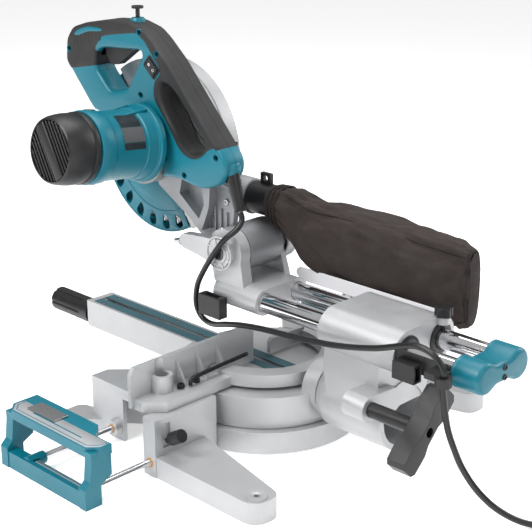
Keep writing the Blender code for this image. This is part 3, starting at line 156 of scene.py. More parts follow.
# Near-white paint: the real white marks on the rocker, and a painted highlight on the slide cover,
# whose brightly lit top is painted near-white
PALE_MARK_AND_HIGHLIGHT = material("pale_marks_and_painted_highlight", (0.80, 0.80, 0.82), 0.35, 0.0, (900, 0.00002), 0.02)
CLOTH = material("bag_weave", (0.036, 0.026, 0.023), 0.95, 0.0, (260, 0.0004), 0.14, weave=420)
CLOTH_DARK = material("bag_tape", (0.020, 0.014, 0.013), 0.9, 0.0, (500, 0.0003), 0.1, weave=600)
BRONZE = material("bush_bronze", (0.35, 0.24, 0.12), 0.4, 1.0, (400, 0.00005), 0.08)
GREASE = material("grease", (0.65, 0.27, 0.03), 0.35, 0.0, (300, 0.0003), 0.2)
LABEL = material("plain_label", (0.06, 0.075, 0.085), 0.3, 0.2, (400, 0.00002), 0.05)


# Shapes ---------------------------------------------------------------------------------

TURNS = {
    "X": Matrix(((0, 0, 1, 0), (1, 0, 0, 0), (0, 1, 0, 0), (0, 0, 0, 1))),
    "Y": Matrix(((1, 0, 0, 0), (0, 0, -1, 0), (0, 1, 0, 0), (0, 0, 0, 1))),
    "Z": Matrix.Identity(4),
}


def settle(obj, name, paint, body, smooth=38):
    """Names a finished piece, paints it and lets it ride on a body."""
    obj.name = name
    obj.data.name = name
    obj.data.materials.clear()
    obj.data.materials.append(paint)
    if obj.type == "MESH":
        obj.data.shade_smooth()
        obj.data.set_sharp_from_angle(angle=math.radians(smooth))
    if body:
        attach(obj, body)
    return obj


def from_bmesh(shape, name, paint, body, smooth=38, place=None):
    mesh = bpy.data.meshes.new(name)
    shape.to_mesh(mesh)
    shape.free()
    obj = bpy.data.objects.new(name, mesh)
    if place is not None:
        mesh.transform(place)
    bpy.context.scene.collection.objects.link(obj)
    return settle(obj, name, paint, body, smooth)


def mesh_of(curve):
    bpy.context.view_layer.update()
    graph = bpy.context.evaluated_depsgraph_get()
    mesh = bpy.data.meshes.new_from_object(curve.evaluated_get(graph))
    mesh.transform(curve.matrix_world)
    obj = bpy.data.objects.new("mesh", mesh)
    bpy.context.scene.collection.objects.link(obj)
    bpy.data.objects.remove(curve, do_unlink=True)
    shape = bmesh.new()
    shape.from_mesh(mesh)
    bmesh.ops.remove_doubles(shape, verts=shape.verts, dist=1e-6)
    bmesh.ops.recalc_face_normals(shape, faces=shape.faces)
    shape.to_mesh(mesh)
    shape.free()
    return obj


def plate(name, axis, loops, low, high, paint, body, rounding=0.001, steps=2):
    """An outline, with holes if it has more loops, extruded along an axis with rounded edges."""
    if isinstance(loops[0][0], (int, float)):
        loops = [loops]
    data = bpy.data.curves.new(name, "CURVE")
    data.dimensions = "2D"
    data.fill_mode = "BOTH"
    data.bevel_depth = rounding
    data.bevel_resolution = steps
    data.offset = -rounding
    data.extrude = max(0.00001, (high - low) / 2 - rounding)
    for loop in loops:
        spline = data.splines.new("POLY")
        spline.points.add(len(loop) - 1)
        for point, (u, v) in zip(spline.points, loop):
            point.co = (u, v, 0, 1)
        spline.use_cyclic_u = True
    curve = bpy.data.objects.new(name, data)
    bpy.context.scene.collection.objects.link(curve)
    middle = Vector([(low + high) / 2 if letter == axis else 0 for letter in "XYZ"])
    curve.matrix_world = Matrix.Translation(middle) @ TURNS[axis]
    return settle(mesh_of(curve), name, paint, body)


def facing(point, direction):
    """A place with its Z axis along a direction."""
    turn = Vector(direction).to_track_quat("Z", "Y").to_matrix().to_4x4()
    return Matrix.Translation(point) @ turn


def turned(name, profile, place, paint, body, sides=48, smooth=38):
    """A closed solid turned about a place's Z axis, from (radius, height) points."""
    shape = bmesh.new()
    rings = []
    for radius, height in profile:
        if radius < 1e-6:
            rings.append([shape.verts.new((0, 0, height))])
            continue
        rings.append([
            shape.verts.new((radius * math.cos(a), radius * math.sin(a), height))
            for a in (2 * math.pi * i / sides for i in range(sides))
        ])
    closed = profile[0][0] > 1e-6
    pairs = list(zip(rings, rings[1:])) + ([(rings[-1], rings[0])] if closed else [])
    for one, two in pairs:
        for i in range(sides):
            j = (i + 1) % sides
            if len(one) == 1 and len(two) > 1:
                shape.faces.new((one[0], two[i], two[j]))
            elif len(two) == 1 and len(one) > 1:
                shape.faces.new((one[i], one[j], two[0]))
            elif len(one) > 1:
                shape.faces.new((one[i], one[j], two[j], two[i]))
    bmesh.ops.recalc_face_normals(shape, faces=shape.faces)
    return from_bmesh(shape, name, paint, body, smooth, place)


def pin(name, start, end, radius, paint, body, rounding=0.0006, sides=32):
    """A round bar with softened ends."""
    start, end = Vector(start), Vector(end)
    length = (end - start).length
    r = min(rounding, radius * 0.4, length * 0.4)
    profile = [(0, 0), (radius - r, 0), (radius - 0.3 * r, 0.3 * r), (radius, r),
               (radius, length - r), (radius - 0.3 * r, length - 0.3 * r),
               (radius - r, length), (0, length)]
    return turned(name, profile, facing(start, end - start), paint, body, sides)


def block(name, low, high, paint, body, rounding=0.001, place=None):
    shape = bmesh.new()
    bmesh.ops.create_cube(shape, size=1)
    size = [b - a for a, b in zip(low, high)]
    middle = [(a + b) / 2 for a, b in zip(low, high)]
    bmesh.ops.transform(shape, matrix=Matrix.Translation(middle) @ Matrix.Diagonal((*size, 1)),
                        verts=shape.verts)
    bmesh.ops.bevel(shape, geom=shape.edges, offset=min(rounding, min(size) * 0.45), segments=2,
                    profile=0.6, affect="EDGES")
    return from_bmesh(shape, name, paint, body, 60, place)


def polar(centre, radius, degrees):
    a = math.radians(degrees)
    return (centre[0] + radius * math.cos(a), centre[1] + radius * math.sin(a))


def arc(centre, radius, start, end, steps):
    return [polar(centre, radius, start + (end - start) * i / steps) for i in range(steps + 1)]


def softened(outline, steps=4, tension=0.5):
    """A closed outline with curved corners through its points."""
    n = len(outline)
    result = []
    for i in range(n):
        p, a, b, q = (Vector(outline[(i + k) % n]) for k in (-1, 0, 1, 2))
        for s in range(steps):
            t = s / steps
            m0, m1 = tension * (b - p), tension * (q - a)
            point = ((2 * t**3 - 3 * t**2 + 1) * a + (t**3 - 2 * t**2 + t) * m0
                     + (-2 * t**3 + 3 * t**2) * b + (t**3 - t**2) * m1)
            result.append(tuple(point))
    return result


def rounded(outline, radius, steps=4):
    """A closed outline of straight edges with round corners."""
    result = []
    n = len(outline)
    for i in range(n):
        p, a, q = (Vector(outline[(i + k) % n]) for k in (-1, 0, 1))
        start = a + (p - a).normalized() * min(radius, (p - a).length * 0.47)
        end = a + (q - a).normalized() * min(radius, (q - a).length * 0.47)
        for k in range(steps + 1):
            t = k / steps
            result.append(tuple((1 - t) ** 2 * start + 2 * t * (1 - t) * a + t * t * end))
    return result


def inset(outline, amount):
    """A closed outline moved inwards, which is outwards if the amount is negative."""
    area = sum(a[0] * b[1] - b[0] * a[1] for a, b in zip(outline, outline[1:] + outline[:1]))
    sign = 1 if area > 0 else -1
    result = []
    n = len(outline)
    for i in range(n):
        p, a, q = (Vector(outline[(i + k) % n]) for k in (-1, 0, 1))
        one, two = (a - p).normalized(), (q - a).normalized()
        normal = Vector((-(one.y + two.y), one.x + two.x))
        if normal.length < 1e-9:
            normal = Vector((-one.y, one.x))
        normal.normalize()
        lean = max(0.4, normal.dot(Vector((-one.y, one.x))))
        result.append(tuple(a + normal * (sign * amount / lean)))
    return result


def between(p, a, b, n, t):
    """A place 0..1 from a to b on a smooth curve that comes from p and goes on to n."""
    return 0.5 * (2 * a + (b - p) * t + (2 * p - 5 * a + 4 * b - n) * t**2
                  + (3 * a - p - 3 * b + n) * t**3)


def smooth_route(knots, spacing):
    """Evenly spaced points on a smooth curve through the knots."""
    knots = [Vector(k) for k in knots]
    line = [2 * knots[0] - knots[1], *knots, 2 * knots[-1] - knots[-2]]
    fine = []
    for p, a, b, n in zip(line, line[1:], line[2:], line[3:]):
        fine.extend(between(p, a, b, n, i / 24) for i in range(24))
    fine.append(knots[-1])
    total = sum((b - a).length for a, b in zip(fine, fine[1:]))
    count = max(2, round(total / spacing))
    kept, run, target = [fine[0]], 0.0, total / count
    for a, b in zip(fine, fine[1:]):
        step = (b - a).length
        while run + step >= target - 1e-9 and len(kept) < count:
            kept.append(a.lerp(b, (target - run) / step))
            target += total / count
        run += step
    kept.append(fine[-1])
    return kept


def tube(name, points, radius, paint, body, sides=12):
    """A round tube along points, with closed ends."""
    points = [Vector(p) for p in points]
    shape = bmesh.new()
    rings = []
    up = Vector((0.3, 0.5, 0.81))
    for i, point in enumerate(points):
        ahead = points[min(i + 1, len(points) - 1)] - points[max(i - 1, 0)]
        ahead.normalize()
        side = ahead.cross(up)
        if side.length < 1e-6:
            side = ahead.orthogonal()
        side.normalize()
        up = side.cross(ahead).normalized()
        rings.append([
            shape.verts.new(point + (side * math.cos(a) + up * math.sin(a)) * radius)
            for a in (2 * math.pi * k / sides for k in range(sides))
        ])
    for one, two in zip(rings, rings[1:]):
        for i in range(sides):
            j = (i + 1) % sides
            shape.faces.new((one[i], one[j], two[j], two[i]))
    shape.faces.new(rings[0])
    shape.faces.new(reversed(rings[-1]))
    bmesh.ops.recalc_face_normals(shape, faces=shape.faces)
    return from_bmesh(shape, name, paint, body, 50)


# CAD nodes that stay, with softened edges -------------------------------------------------

KEPT = {
    SILVER: "base_casting fence sub_fence_left turntable tilt_arm head_bracket spring_cover "
            "blade_case dust_chute",
    CAST: "head_arm",
    TEAL: "wing_right wing_left",
    TEAL_DARK: "kerf_board_right kerf_board_left",
    BLACK: "bevel_lever slide_lock_knob rear_cord_clip front_cord_clip dust_pipe trigger "
           "lock_off_button light_switch mitre_latch mitre_grip wing_screw_right wing_screw_left",
    CHROME: "slide_pole_left slide_pole_right wing_rods_right wing_rods_left",
    STEEL: "pivot_bolt tilt_pin hinge_pin depth_stop_screw return_spring spindle outer_flange "
           "blade_bolt spindle_bearing flip_stop_right",
    DARK_STEEL: "hex_wrench",
    BRONZE: "slide_bush_left slide_bush_right armature",
    RUBBER: "cord_guard",
    # The slide cover is painted near-white as a painted highlight for its brightly lit top
    PALE_MARK_AND_HIGHLIGHT: "slide_cover",
}
EDGE = {"return_spring": 0, "slide_cover": 0.0004, "hex_wrench": 0,
        "slide_bush_left": 0.0002, "slide_bush_right": 0.0002, "fence": 0.0010,
        "base_casting": 0.0014, "tilt_arm": 0.0018, "pole_end_cap": 0.0022, "bevel_lever": 0.0018,
        "turntable": 0.0010, "blade_case": 0.0020, "head_arm": 0.0014, "head_bracket": 0.0014}


def finish_node(name, paint, width):
    """Rounds a CAD node's edges and gives it its material."""
    obj = frame["nodes"][name]
    obj.data.materials.clear()
    obj.data.materials.append(paint)
    if "custom_normal" in obj.data.attributes:
        obj.data.attributes.remove(obj.data.attributes["custom_normal"])
    obj.data.shade_smooth()
    weld = obj.modifiers.new("weld", "WELD")
    weld.merge_threshold = 0.00001
    if width:
        edge = obj.modifiers.new("edge", "BEVEL")
        edge.width = width
        edge.segments = 2
        edge.limit_method = "ANGLE"
        edge.angle_limit = math.radians(32)
        edge.use_clamp_overlap = True
    shade = obj.modifiers.new("shade", "WEIGHTED_NORMAL")
    shade.keep_sharp = True


def finish_nodes():
    for paint, names in KEPT.items():
        for name in names.split():
            finish_node(name, paint, EDGE.get(name, 0.0006))


# Handle ---------------------------------------------------------------------------------

def carve(obj, *cutters):
    """Cuts pieces out of a finished piece, and removes the cutters."""
    for cutter in cutters:
        made = obj.modifiers.new("cut", "BOOLEAN")
        made.operation = "DIFFERENCE"
        made.object = cutter
    graph = bpy.context.evaluated_depsgraph_get()
    mesh = bpy.data.meshes.new_from_object(obj.evaluated_get(graph))
    obj.modifiers.clear()
    obj.data = mesh
    for cutter in cutters:
        bpy.data.objects.remove(cutter, do_unlink=True)
    clean = bmesh.new()
    clean.from_mesh(mesh)
    bmesh.ops.remove_doubles(clean, verts=clean.verts, dist=0.000004)
    bmesh.ops.dissolve_degenerate(clean, dist=0.000004, edges=clean.edges)
    clean.to_mesh(mesh)
    clean.free()
    mesh.shade_smooth()
    mesh.set_sharp_from_angle(angle=math.radians(38))
    return obj


def cylinder_cutter(start, end, radius, sides=32):
    start, end = Vector(start), Vector(end)
    length = (end - start).length
    profile = [(0, 0), (radius, 0), (radius, length), (0, length)]
    return turned("cutter", profile, facing(start, end - start), BLACK, None, sides)


def block_cutter(low, high, place=None):
    return block("cutter", low, high, BLACK, None, 0.00001, place)


HANDLE = [
    (-0.2760, 0.3795), (-0.3230, 0.4307), (-0.3336, 0.4425), (-0.3300, 0.4740),
    (-0.3162, 0.4905), (-0.2880, 0.4990), (-0.2433, 0.5070), (-0.1960, 0.5095),
    (-0.1661, 0.5024), (-0.1495, 0.4917), (-0.1185, 0.4654), (-0.0820, 0.4256),
    (-0.0344, 0.3753), (-0.0153, 0.3550), (-0.0150, 0.3370), (-0.0277, 0.3205),
    (-0.0592, 0.3088), (-0.0946, 0.3121),
]
HAND_GAP = [(-0.2664, 0.4633), (-0.2680, 0.4401), (-0.2391, 0.4117), (-0.2050, 0.4188),
            (-0.1714, 0.4678), (-0.1744, 0.4741), (-0.2516, 0.4690)]
CARRY_GAP = [(-0.1358, 0.4394), (-0.1133, 0.4338), (-0.0500, 0.3670), (-0.0720, 0.3512),
             (-0.0950, 0.3562), (-0.1385, 0.4170)]
GRIP_COVER = [
    (-0.3225, 0.4298), (-0.3336, 0.4425), (-0.3300, 0.4740), (-0.3162, 0.4905),
    (-0.2880, 0.4990), (-0.2433, 0.5070), (-0.1960, 0.5095), (-0.1661, 0.5024),
    (-0.1495, 0.4917), (-0.1185, 0.4654), (-0.0820, 0.4256), (-0.0344, 0.3753),
    (-0.0258, 0.3660), (-0.0345, 0.3655), (-0.0470, 0.3600), (-0.0571, 0.3500),
    (-0.0720, 0.3452), (-0.0865, 0.3500), (-0.1150, 0.3722), (-0.1462, 0.4061),
    (-0.1525, 0.4160), (-0.1520, 0.4310), (-0.1475, 0.4420), (-0.1390, 0.4490),
    (-0.1385, 0.4545), (-0.1580, 0.4752), (-0.1680, 0.4861), (-0.1810, 0.4930),
    (-0.2190, 0.4875), (-0.2500, 0.4820), (-0.2660, 0.4640), (-0.2673, 0.4402),
]
SCREWS = [(-0.3240, 0.4601), (-0.1745, 0.4975), (-0.1415, 0.4736), (-0.1752, 0.4161),
          (-0.1446, 0.3520), (-0.1298, 0.3384), (-0.0335, 0.3560), (-0.0933, 0.3227)]
SWITCH = (-0.1510, 0.4555)
SWITCH_TURN = math.radians(-42)
HANDLE_X = (0.0180, 0.0550)
HANDLE_MID = 0.0365
WELL_R = 0.0048


def handle_outline():
    """The handle's outline, with a round bite for the gear case."""
    bite = [polar(GEAR_BOX, 0.0515, degrees) for degrees in range(-40, 151, 6)]
    bite = [p for p in bite if p[0] < -0.1345]
    return rounded(HANDLE, 0.014)[2:-1] + bite


def turned_box(centre, length, width, turn):
    c, s = math.cos(turn), math.sin(turn)
    corners = [(-length, -width), (length, -width), (length, width), (-length, width)]
    return [(centre[0] + (a * c - b * s) / 2, centre[1] + (a * s + b * c) / 2) for a, b in corners]


def handle_rooms(screws):
    """The rooms inside the handle for the trigger, the button, the rocker and the screws."""
    room = [(-0.2690, 0.4560), (-0.1930, 0.4600), (-0.1900, 0.4860), (-0.2690, 0.4860)]
    rocker = turned_box(SWITCH, 0.0235, 0.0160, SWITCH_TURN)
    cutters = [
        plate("cutter", "X", room, HANDLE_MID - 0.0075, HANDLE_MID + 0.0075, BLACK, None,
              0.00001, 0),
        plate("cutter", "X", rocker, 0.0485, 0.08, BLACK, None, 0.00001, 0),
        cylinder_cutter((HANDLE_MID, -0.197, 0.480), (HANDLE_MID, -0.197, 0.6), 0.0034),
        block_cutter((HANDLE_MID - 0.0002, -0.4, 0.2), (HANDLE_MID + 0.0002, 0.1, 0.6)),
    ]
    for y, z in screws:
        cutters.append(cylinder_cutter((0.0490, y, z), (0.08, y, z), WELL_R))
        cutters.append(cylinder_cutter((-0.01, y, z), (0.0240, y, z), WELL_R))
    return cutters


def make_handle():
    """The teal shell, the black grip cover over it, their screws, ribs and collars."""
    outline = handle_outline()
    hand, carry = rounded(HAND_GAP, 0.0075), rounded(CARRY_GAP, 0.013)
    low, high = HANDLE_X
    loops = [inset(outline, 0.0006), inset(hand, -0.0006), inset(carry, -0.0012)]
    shell = plate("handle_shell", "X", loops, low + 0.0006, high - 0.0006, TEAL, "head",
                  0.0052, 4)
    guard_way = Vector((0, 0.0160, -0.0540)).normalized()
    socket_from = Vector((HANDLE_MID, -0.0245, 0.3420))
    carve(shell, *handle_rooms(SCREWS),
          cylinder_cutter(socket_from - guard_way * 0.001, socket_from + guard_way * 0.06, 0.0108))
    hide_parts("handle_left", "handle_right")
    cover = plate("grip_cover", "X", [rounded(GRIP_COVER, 0.007), carry],
                  low, high, GRIP, "head", 0.0056, 4)
    carve(cover, *handle_rooms(SCREWS[:3]))
    for side, x, way in (("right", high, 1), ("left", low, -1)):
        for i, (y, z) in enumerate(SCREWS):
            start = Vector((x - way * 0.0056, y, z))
            turned(f"screw_well_{side}_{i}", [
                (WELL_R - 0.0007, 0), (WELL_R + 0.0001, 0), (WELL_R + 0.0001, 0.0052),
                (WELL_R - 0.0002, 0.0055), (WELL_R - 0.0007, 0.0052)],
                facing(start, (way, 0, 0)), TEAL, "head", 32)
            turned(f"handle_screw_{side}_{i}", [
                (0, 0), (WELL_R - 0.0008, 0), (WELL_R - 0.0010, 0.0014), (0.0014, 0.0018),
                (0.0012, 0.0010), (0, 0.0008)], facing(start, (way, 0, 0)), DARK_STEEL, "head", 24)
        face = (x - 0.0012, x + 0.0003) if way > 0 else (x - 0.0003, x + 0.0012)
        window = [(-0.3100, 0.4815), (-0.3020, 0.4880), (-0.2800, 0.4945), (-0.2530, 0.4950),
                  (-0.2525, 0.4912), (-0.2800, 0.4880), (-0.3020, 0.4805)]
        plate(f"grip_window_{side}", "X", softened(window, 3, 0.4), *face, TEAL, "head", 0.0003, 1)
        for i in range(7):
            y = -0.3060 + 0.0082 * i
            z = 0.4790 + 0.0015 * i
            rib = [(y - 0.0008, z - 0.0125 + 0.0004 * i), (y + 0.0020, z - 0.0120 + 0.0004 * i),
                   (y + 0.0026, z + 0.0022), (y - 0.0006, z + 0.0016)]
            plate(f"grip_rib_{side}_{i}", "X", rib, *face, GRIP, "head", 0.0005, 1)
    frame_loop = turned_box(SWITCH, 0.0270, 0.0195, SWITCH_TURN)
    rocker = turned_box(SWITCH, 0.0228, 0.0159, SWITCH_TURN)
    plate("rocker_frame", "X", [rounded(frame_loop, 0.003), rocker], 0.0530, 0.0556, BLACK,
          "head", 0.0004, 2)
    for k, shift in enumerate((-0.0050, 0.0050)):
        c, s = math.cos(SWITCH_TURN), math.sin(SWITCH_TURN)
        spot = (0.0563, SWITCH[0] + shift * c, SWITCH[1] + shift * s)
        turned(f"rocker_mark_{k}", [(0.0009 + 0.0004 * k, 0), (0.0019, 0), (0.0019, 0.0003),
                                    (0.0009 + 0.0004 * k, 0.0003)],
               facing(spot, (1, 0, 0)), PALE_MARK_AND_HIGHLIGHT, "switch", 24)
    turned("pin_collar", [(0.0034, 0), (0.0100, 0), (0.0100, 0.0058), (0.0084, 0.0084),
                          (0.0044, 0.0090), (0.0034, 0.0086)],
           facing((HANDLE_MID, -0.197, 0.5045), (0, 0, 1)), TEAL, "head", 40)
    turned("guard_collar", [(0.0106, 0), (0.0150, 0), (0.0157, 0.003), (0.0146, 0.010),
                            (0.0120, 0.0140), (0.0106, 0.0140)],
           facing((HANDLE_MID, -0.0290, 0.3455), guard_way), TEAL, "head", 48)
    for i in range(9):
        spot = socket_from + guard_way * (0.0170 + 0.0042 * i)
        r = 0.0095 - 0.00036 * i * 1.1
        turned(f"guard_ring_{i}", [(r - 0.0008, 0), (r + 0.0002, 0), (r + 0.0004, 0.0009),
                                   (r + 0.0001, 0.0018), (r - 0.0008, 0.0018)],
               facing(spot, guard_way), RUBBER, "head", 32)


# Motor ----------------------------------------------------------------------------------


def motor_axis(x):
    return (x, MOTOR[0], MOTOR[1] + 0.1 * (x - 0.055))


MOTOR_WAY = Vector((1, 0, 0.1)).normalized()
CAP_TURN = 35
CAP_X = 0.1663
SHELL_X = 0.0640


def motor_place(x):
    return facing(motor_axis(x), MOTOR_WAY)


def make_motor():
    """The round housing, its gussets, brush caps and a blank label in three bands."""
    shell = turned("motor_shell", [
        (0.0420, 0.0000), (0.0500, 0.0000), (0.0516, 0.0014), (0.0516, 0.0075), (0.0500, 0.0092),
        (0.0476, 0.0098), (0.0470, 0.0112), (0.0470, 0.0240), (0.0466, 0.0258), (0.0452, 0.0268),
        (0.0450, 0.0285), (0.0450, 0.0760), (0.0454, 0.0776), (0.0466, 0.0790), (0.0472, 0.0806),
        (0.0474, 0.0985), (0.0466, 0.1008), (0.0440, 0.1014), (0.0415, 0.1010), (0.0412, 0.0960),
        (0.0412, 0.0040)],
        motor_place(SHELL_X), TEAL, "head", 128, 30)
    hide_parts("motor_housing")
    for i, degrees in enumerate((70, 115, 160)):
        place = motor_place(0.0735) @ Matrix.Rotation(math.radians(degrees), 4, "Z")
        fin = bmesh.new()
        corners = [(0.0438, 0.0), (0.0514, 0.0), (0.0500, 0.0050), (0.0446, 0.0340)]
        front = [fin.verts.new((u, -0.0022, v)) for u, v in corners]
        back = [fin.verts.new((u, 0.0022, v)) for u, v in corners]
        fin.faces.new(front)
        fin.faces.new(reversed(back))
        for a in range(4):
            b = (a + 1) % 4
            fin.faces.new((front[b], front[a], back[a], back[b]))
        bmesh.ops.recalc_face_normals(fin, faces=fin.faces)
        bmesh.ops.bevel(fin, geom=fin.edges, offset=0.0006, segments=2, affect="EDGES")
        from_bmesh(fin, f"motor_gusset_{i}", TEAL, "head", 50, place)
    make_motor_cap()
    for i, angle in enumerate((95, -85)):
        place = motor_place(0.1500) @ Matrix.Rotation(math.radians(angle), 4, "Z")
        turned(f"brush_cap_{i}", [(0, 0.0400), (0.0078, 0.0400), (0.0082, 0.0466),
                                  (0.0072, 0.0474), (0.0060, 0.0474), (0.0058, 0.0468),
                                  (0, 0.0468)],
               place @ Matrix.Rotation(math.radians(90), 4, "Y"), BLACK, "head", 40)
    for k, low, high, paint in (("upper", 40, 66, LABEL), ("middle", 14, 39.2, GREY),
                                ("lower", 2, 13.2, LABEL)):
        shape = bmesh.new()
        rows = []
        for i in range(17):
            a = math.radians(low + (high - low) * i / 16)
            rows.append([shape.verts.new((0.0454 * math.cos(a), 0.0454 * math.sin(a), z))
                         for z in (0.0310, 0.0480, 0.0650)])
        for one, two in zip(rows, rows[1:]):
            for j in range(2):
                shape.faces.new((one[j], two[j], two[j + 1], one[j + 1]))
        bmesh.ops.solidify(shape, geom=shape.faces[:], thickness=0.0008)
        bmesh.ops.recalc_face_normals(shape, faces=shape.faces)
        from_bmesh(shape, f"motor_label_{k}", paint, "head", 40, motor_place(SHELL_X))


def make_motor_cap():
    """The louvred end cap with a plain raised band across it."""
    profile = [(0.0, 0.0), (0.0448, 0.0), (0.0452, 0.0008), (0.0452, 0.0240), (0.0446, 0.0300),
               (0.0432, 0.0390), (0.0412, 0.0445), (0.0392, 0.0462), (0.0384, 0.0452),
               (0.0380, 0.0380), (0.0, 0.0380)]
    cap = turned("motor_cap", profile, motor_place(CAP_X), BLACK, "head", 128, 28)
    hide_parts("motor_end_cap")
    lean = motor_place(CAP_X) @ Matrix.Rotation(math.radians(CAP_TURN), 4, "Z")
    for side in (1, -1):
        for i in range(5):
            across = side * (0.0112 + 0.0056 * i)
            half = math.sqrt(max(0.0001, 0.0382**2 - across**2)) - 0.0002
            block(f"cap_louvre_{'a' if side > 0 else 'b'}{i}", (across - 0.0013, -half, 0.0376),
                  (across + 0.0013, half, 0.0454), BLACK, "head", 0.0009, lean)
    block("cap_band", (-0.0078, -0.0382, 0.0376), (0.0078, 0.0382, 0.0470), BLACK, "head", 0.0022,
          lean)
    turned("cap_step", [(0.0440, 0), (0.0459, 0.0002), (0.0461, 0.0010), (0.0461, 0.0060),
                        (0.0456, 0.0078), (0.0440, 0.0080)], motor_place(CAP_X + 0.0004), BLACK,
           "head", 128)
    for i in range(5):
        angle = math.radians(-150 + 11 * i)
        place = motor_place(CAP_X) @ Matrix.Rotation(angle, 4, "Z")
        block(f"cap_slot_{i}", (0.0436, -0.0016, 0.0110), (0.0456, 0.0016, 0.0250), GLOSS, "head",
              0.0006, place)


# Guard and blade --------------------------------------------------------------------------------

GUARD_R = CASE_R - CASE_WALL - GUARD_GAP


def make_guard():
    """The swinging guard: a rim and two walls, the near one with hooked slots."""
    wall = arc(BLADE, GUARD_R - 0.0012, 124, 301, 60) + arc(BLADE, 0.0455, 301, 124, 30)
    slots = []
    for degrees in range(140, 292, 15):
        slot = []
        for radius, turn in ((0.094, 0.0), (0.108, -1.8), (0.1135, 1.2), (0.112, 5.2),
                             (0.104, 5.6), (0.098, 4.2)):
            slot.append(polar(BLADE, radius, degrees + turn))
        slots.append(softened(slot, 3, 0.35))
    near = plate("guard_wall", "X", [wall, *slots], 0.0084, 0.0101, TEAL, "guard", 0.0004, 1)
    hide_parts("lower_guard")
    far_wall = arc(BLADE, GUARD_R - 0.0012, 124, 301, 60) + arc(BLADE, 0.0605, 301, 124, 30)
    plate("guard_far_wall", "X", far_wall, -0.0239, -0.0222, TEAL, "guard", 0.0004, 1)
    rim = arc(BLADE, GUARD_R, 122, 303, 72) + arc(BLADE, GUARD_R - 0.0026, 303, 122, 72)
    plate("guard_rim", "X", rim, -0.0239, 0.0101, TEAL, "guard", 0.0007, 2)
    for k, radius in enumerate((0.1165, 0.0895)):
        bead = [(0.0102, *p) for p in arc(BLADE, radius - 0.001, 126, 299, 90)]
        tube(f"guard_bead_{k}", bead, 0.0006, TEAL, "guard", 8)
    turned("guard_ring", [(0.0277, 0), (0.0452, 0), (0.0452, 0.0014), (0.0440, 0.0017),
                          (0.0290, 0.0017), (0.0277, 0.0014)],
           facing((0.0084, *BLADE), (1, 0, 0)), TEAL, "guard", 72)


# Blade ----------------------------------------------------------------------------------------


def make_blade():
    """The saw blade: gullets, carbide tips and slots with round ends."""
    count, radius = 24, 0.1075
    outline = []
    for i in range(count):
        base = 360 * i / count
        for share, r in ((0.0, radius), (0.10, radius - 0.0004), (0.30, radius - 0.0022),
                         (0.52, radius - 0.0032), (0.66, radius - 0.0050), (0.76, radius - 0.0088),
                         (0.88, radius - 0.0104), (0.96, radius - 0.0084), (0.985, radius - 0.004)):
            outline.append(polar(BLADE, r, base + share * 360 / count))
    holes = [arc(BLADE, 0.0083, 0, 350, 35)]
    for k in range(4):
        for j in range(3):
            centre = polar(BLADE, 0.060 + 0.006 * j, 90 * k + 20 + 9 * j)
            holes.append(arc(centre, 0.0016, 0, 330, 11))
    disc = plate("saw_blade", "X", [outline, *holes], -0.0009, 0.0009, STEEL, "blade", 0.0001, 1)
    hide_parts("blade")
    for i in range(count):
        turn = Matrix.Rotation(math.radians(360 * i / count), 4, "X")
        place = Matrix.Translation((0, *BLADE)) @ turn
        block(f"blade_tip_{i}", (-0.0011, radius - 0.0062, -0.0012),
              (0.0011, radius + 0.0004, 0.0010), CHROME, "blade", 0.0002, place)


# Head, slide and table details -------------------------------------------------------------------


def hex_head(name, point, way, across, height, paint, body):
    """A bolt head with a hexagon socket."""
    r = across / 2
    turned(name, [(0, 0), (r, 0), (r, height - 0.0006), (r - 0.0006, height), (r * 0.55, height),
                  (r * 0.5, height - 0.0016), (0, height - 0.0016)],
           facing(point, way), paint, body, 28)


def make_head_details():
    """Beads, a seam and screws on the blade case, and ribs on the head's web."""
    for k, (radius, thick) in enumerate(((0.102, 0.0014), (0.086, 0.0012))):
        bead = [(CASE_FACE - 0.0003, *p) for p in arc(BLADE, radius, -40, 112, 70)]
        tube(f"case_bead_{k}", bead, thick, SILVER, "head", 10)
        bead = [(-0.0279, *p) for p in arc(BLADE, radius, -50, 120, 80)]
        tube(f"case_far_bead_{k}", bead, thick * 0.5, SILVER, "head", 10)
    rim = [(-0.0070, *p) for p in arc(BLADE, 0.1219, -52, 122, 90)]
    strap = tube("case_seam", rim, 0.0005, CAST, "head", 8)
    for vertex in strap.data.vertices:
        vertex.co.x = -0.0070 + (vertex.co.x + 0.0070) * 3.0
    for i, degrees in enumerate((8, 48, 88)):
        spot = (CASE_FACE - 0.0003, *polar(BLADE, 0.108, degrees))
        hex_head(f"case_screw_{i}", spot, (1, 0, 0), 0.0062, 0.0022, STEEL, "head")
    for i, (y, z) in enumerate(((-0.0460, 0.2900), (-0.0560, 0.2500), (-0.0700, 0.2720))):
        hex_head(f"web_screw_{i}", (0.0230, y, z), (1, 0, 0), 0.0080, 0.0030, STEEL, "head")
    for i in range(4):
        y = -0.0440 - 0.0105 * i
        loop = [(y, 0.2360 + 0.004 * i), (y - 0.0022, 0.2360 + 0.004 * i),
                (y - 0.0022, 0.2760 + 0.003 * i), (y, 0.2760 + 0.003 * i)]
        plate(f"web_rib_{i}", "X", loop, 0.0226, 0.0262, CAST, "head", 0.0007, 2)


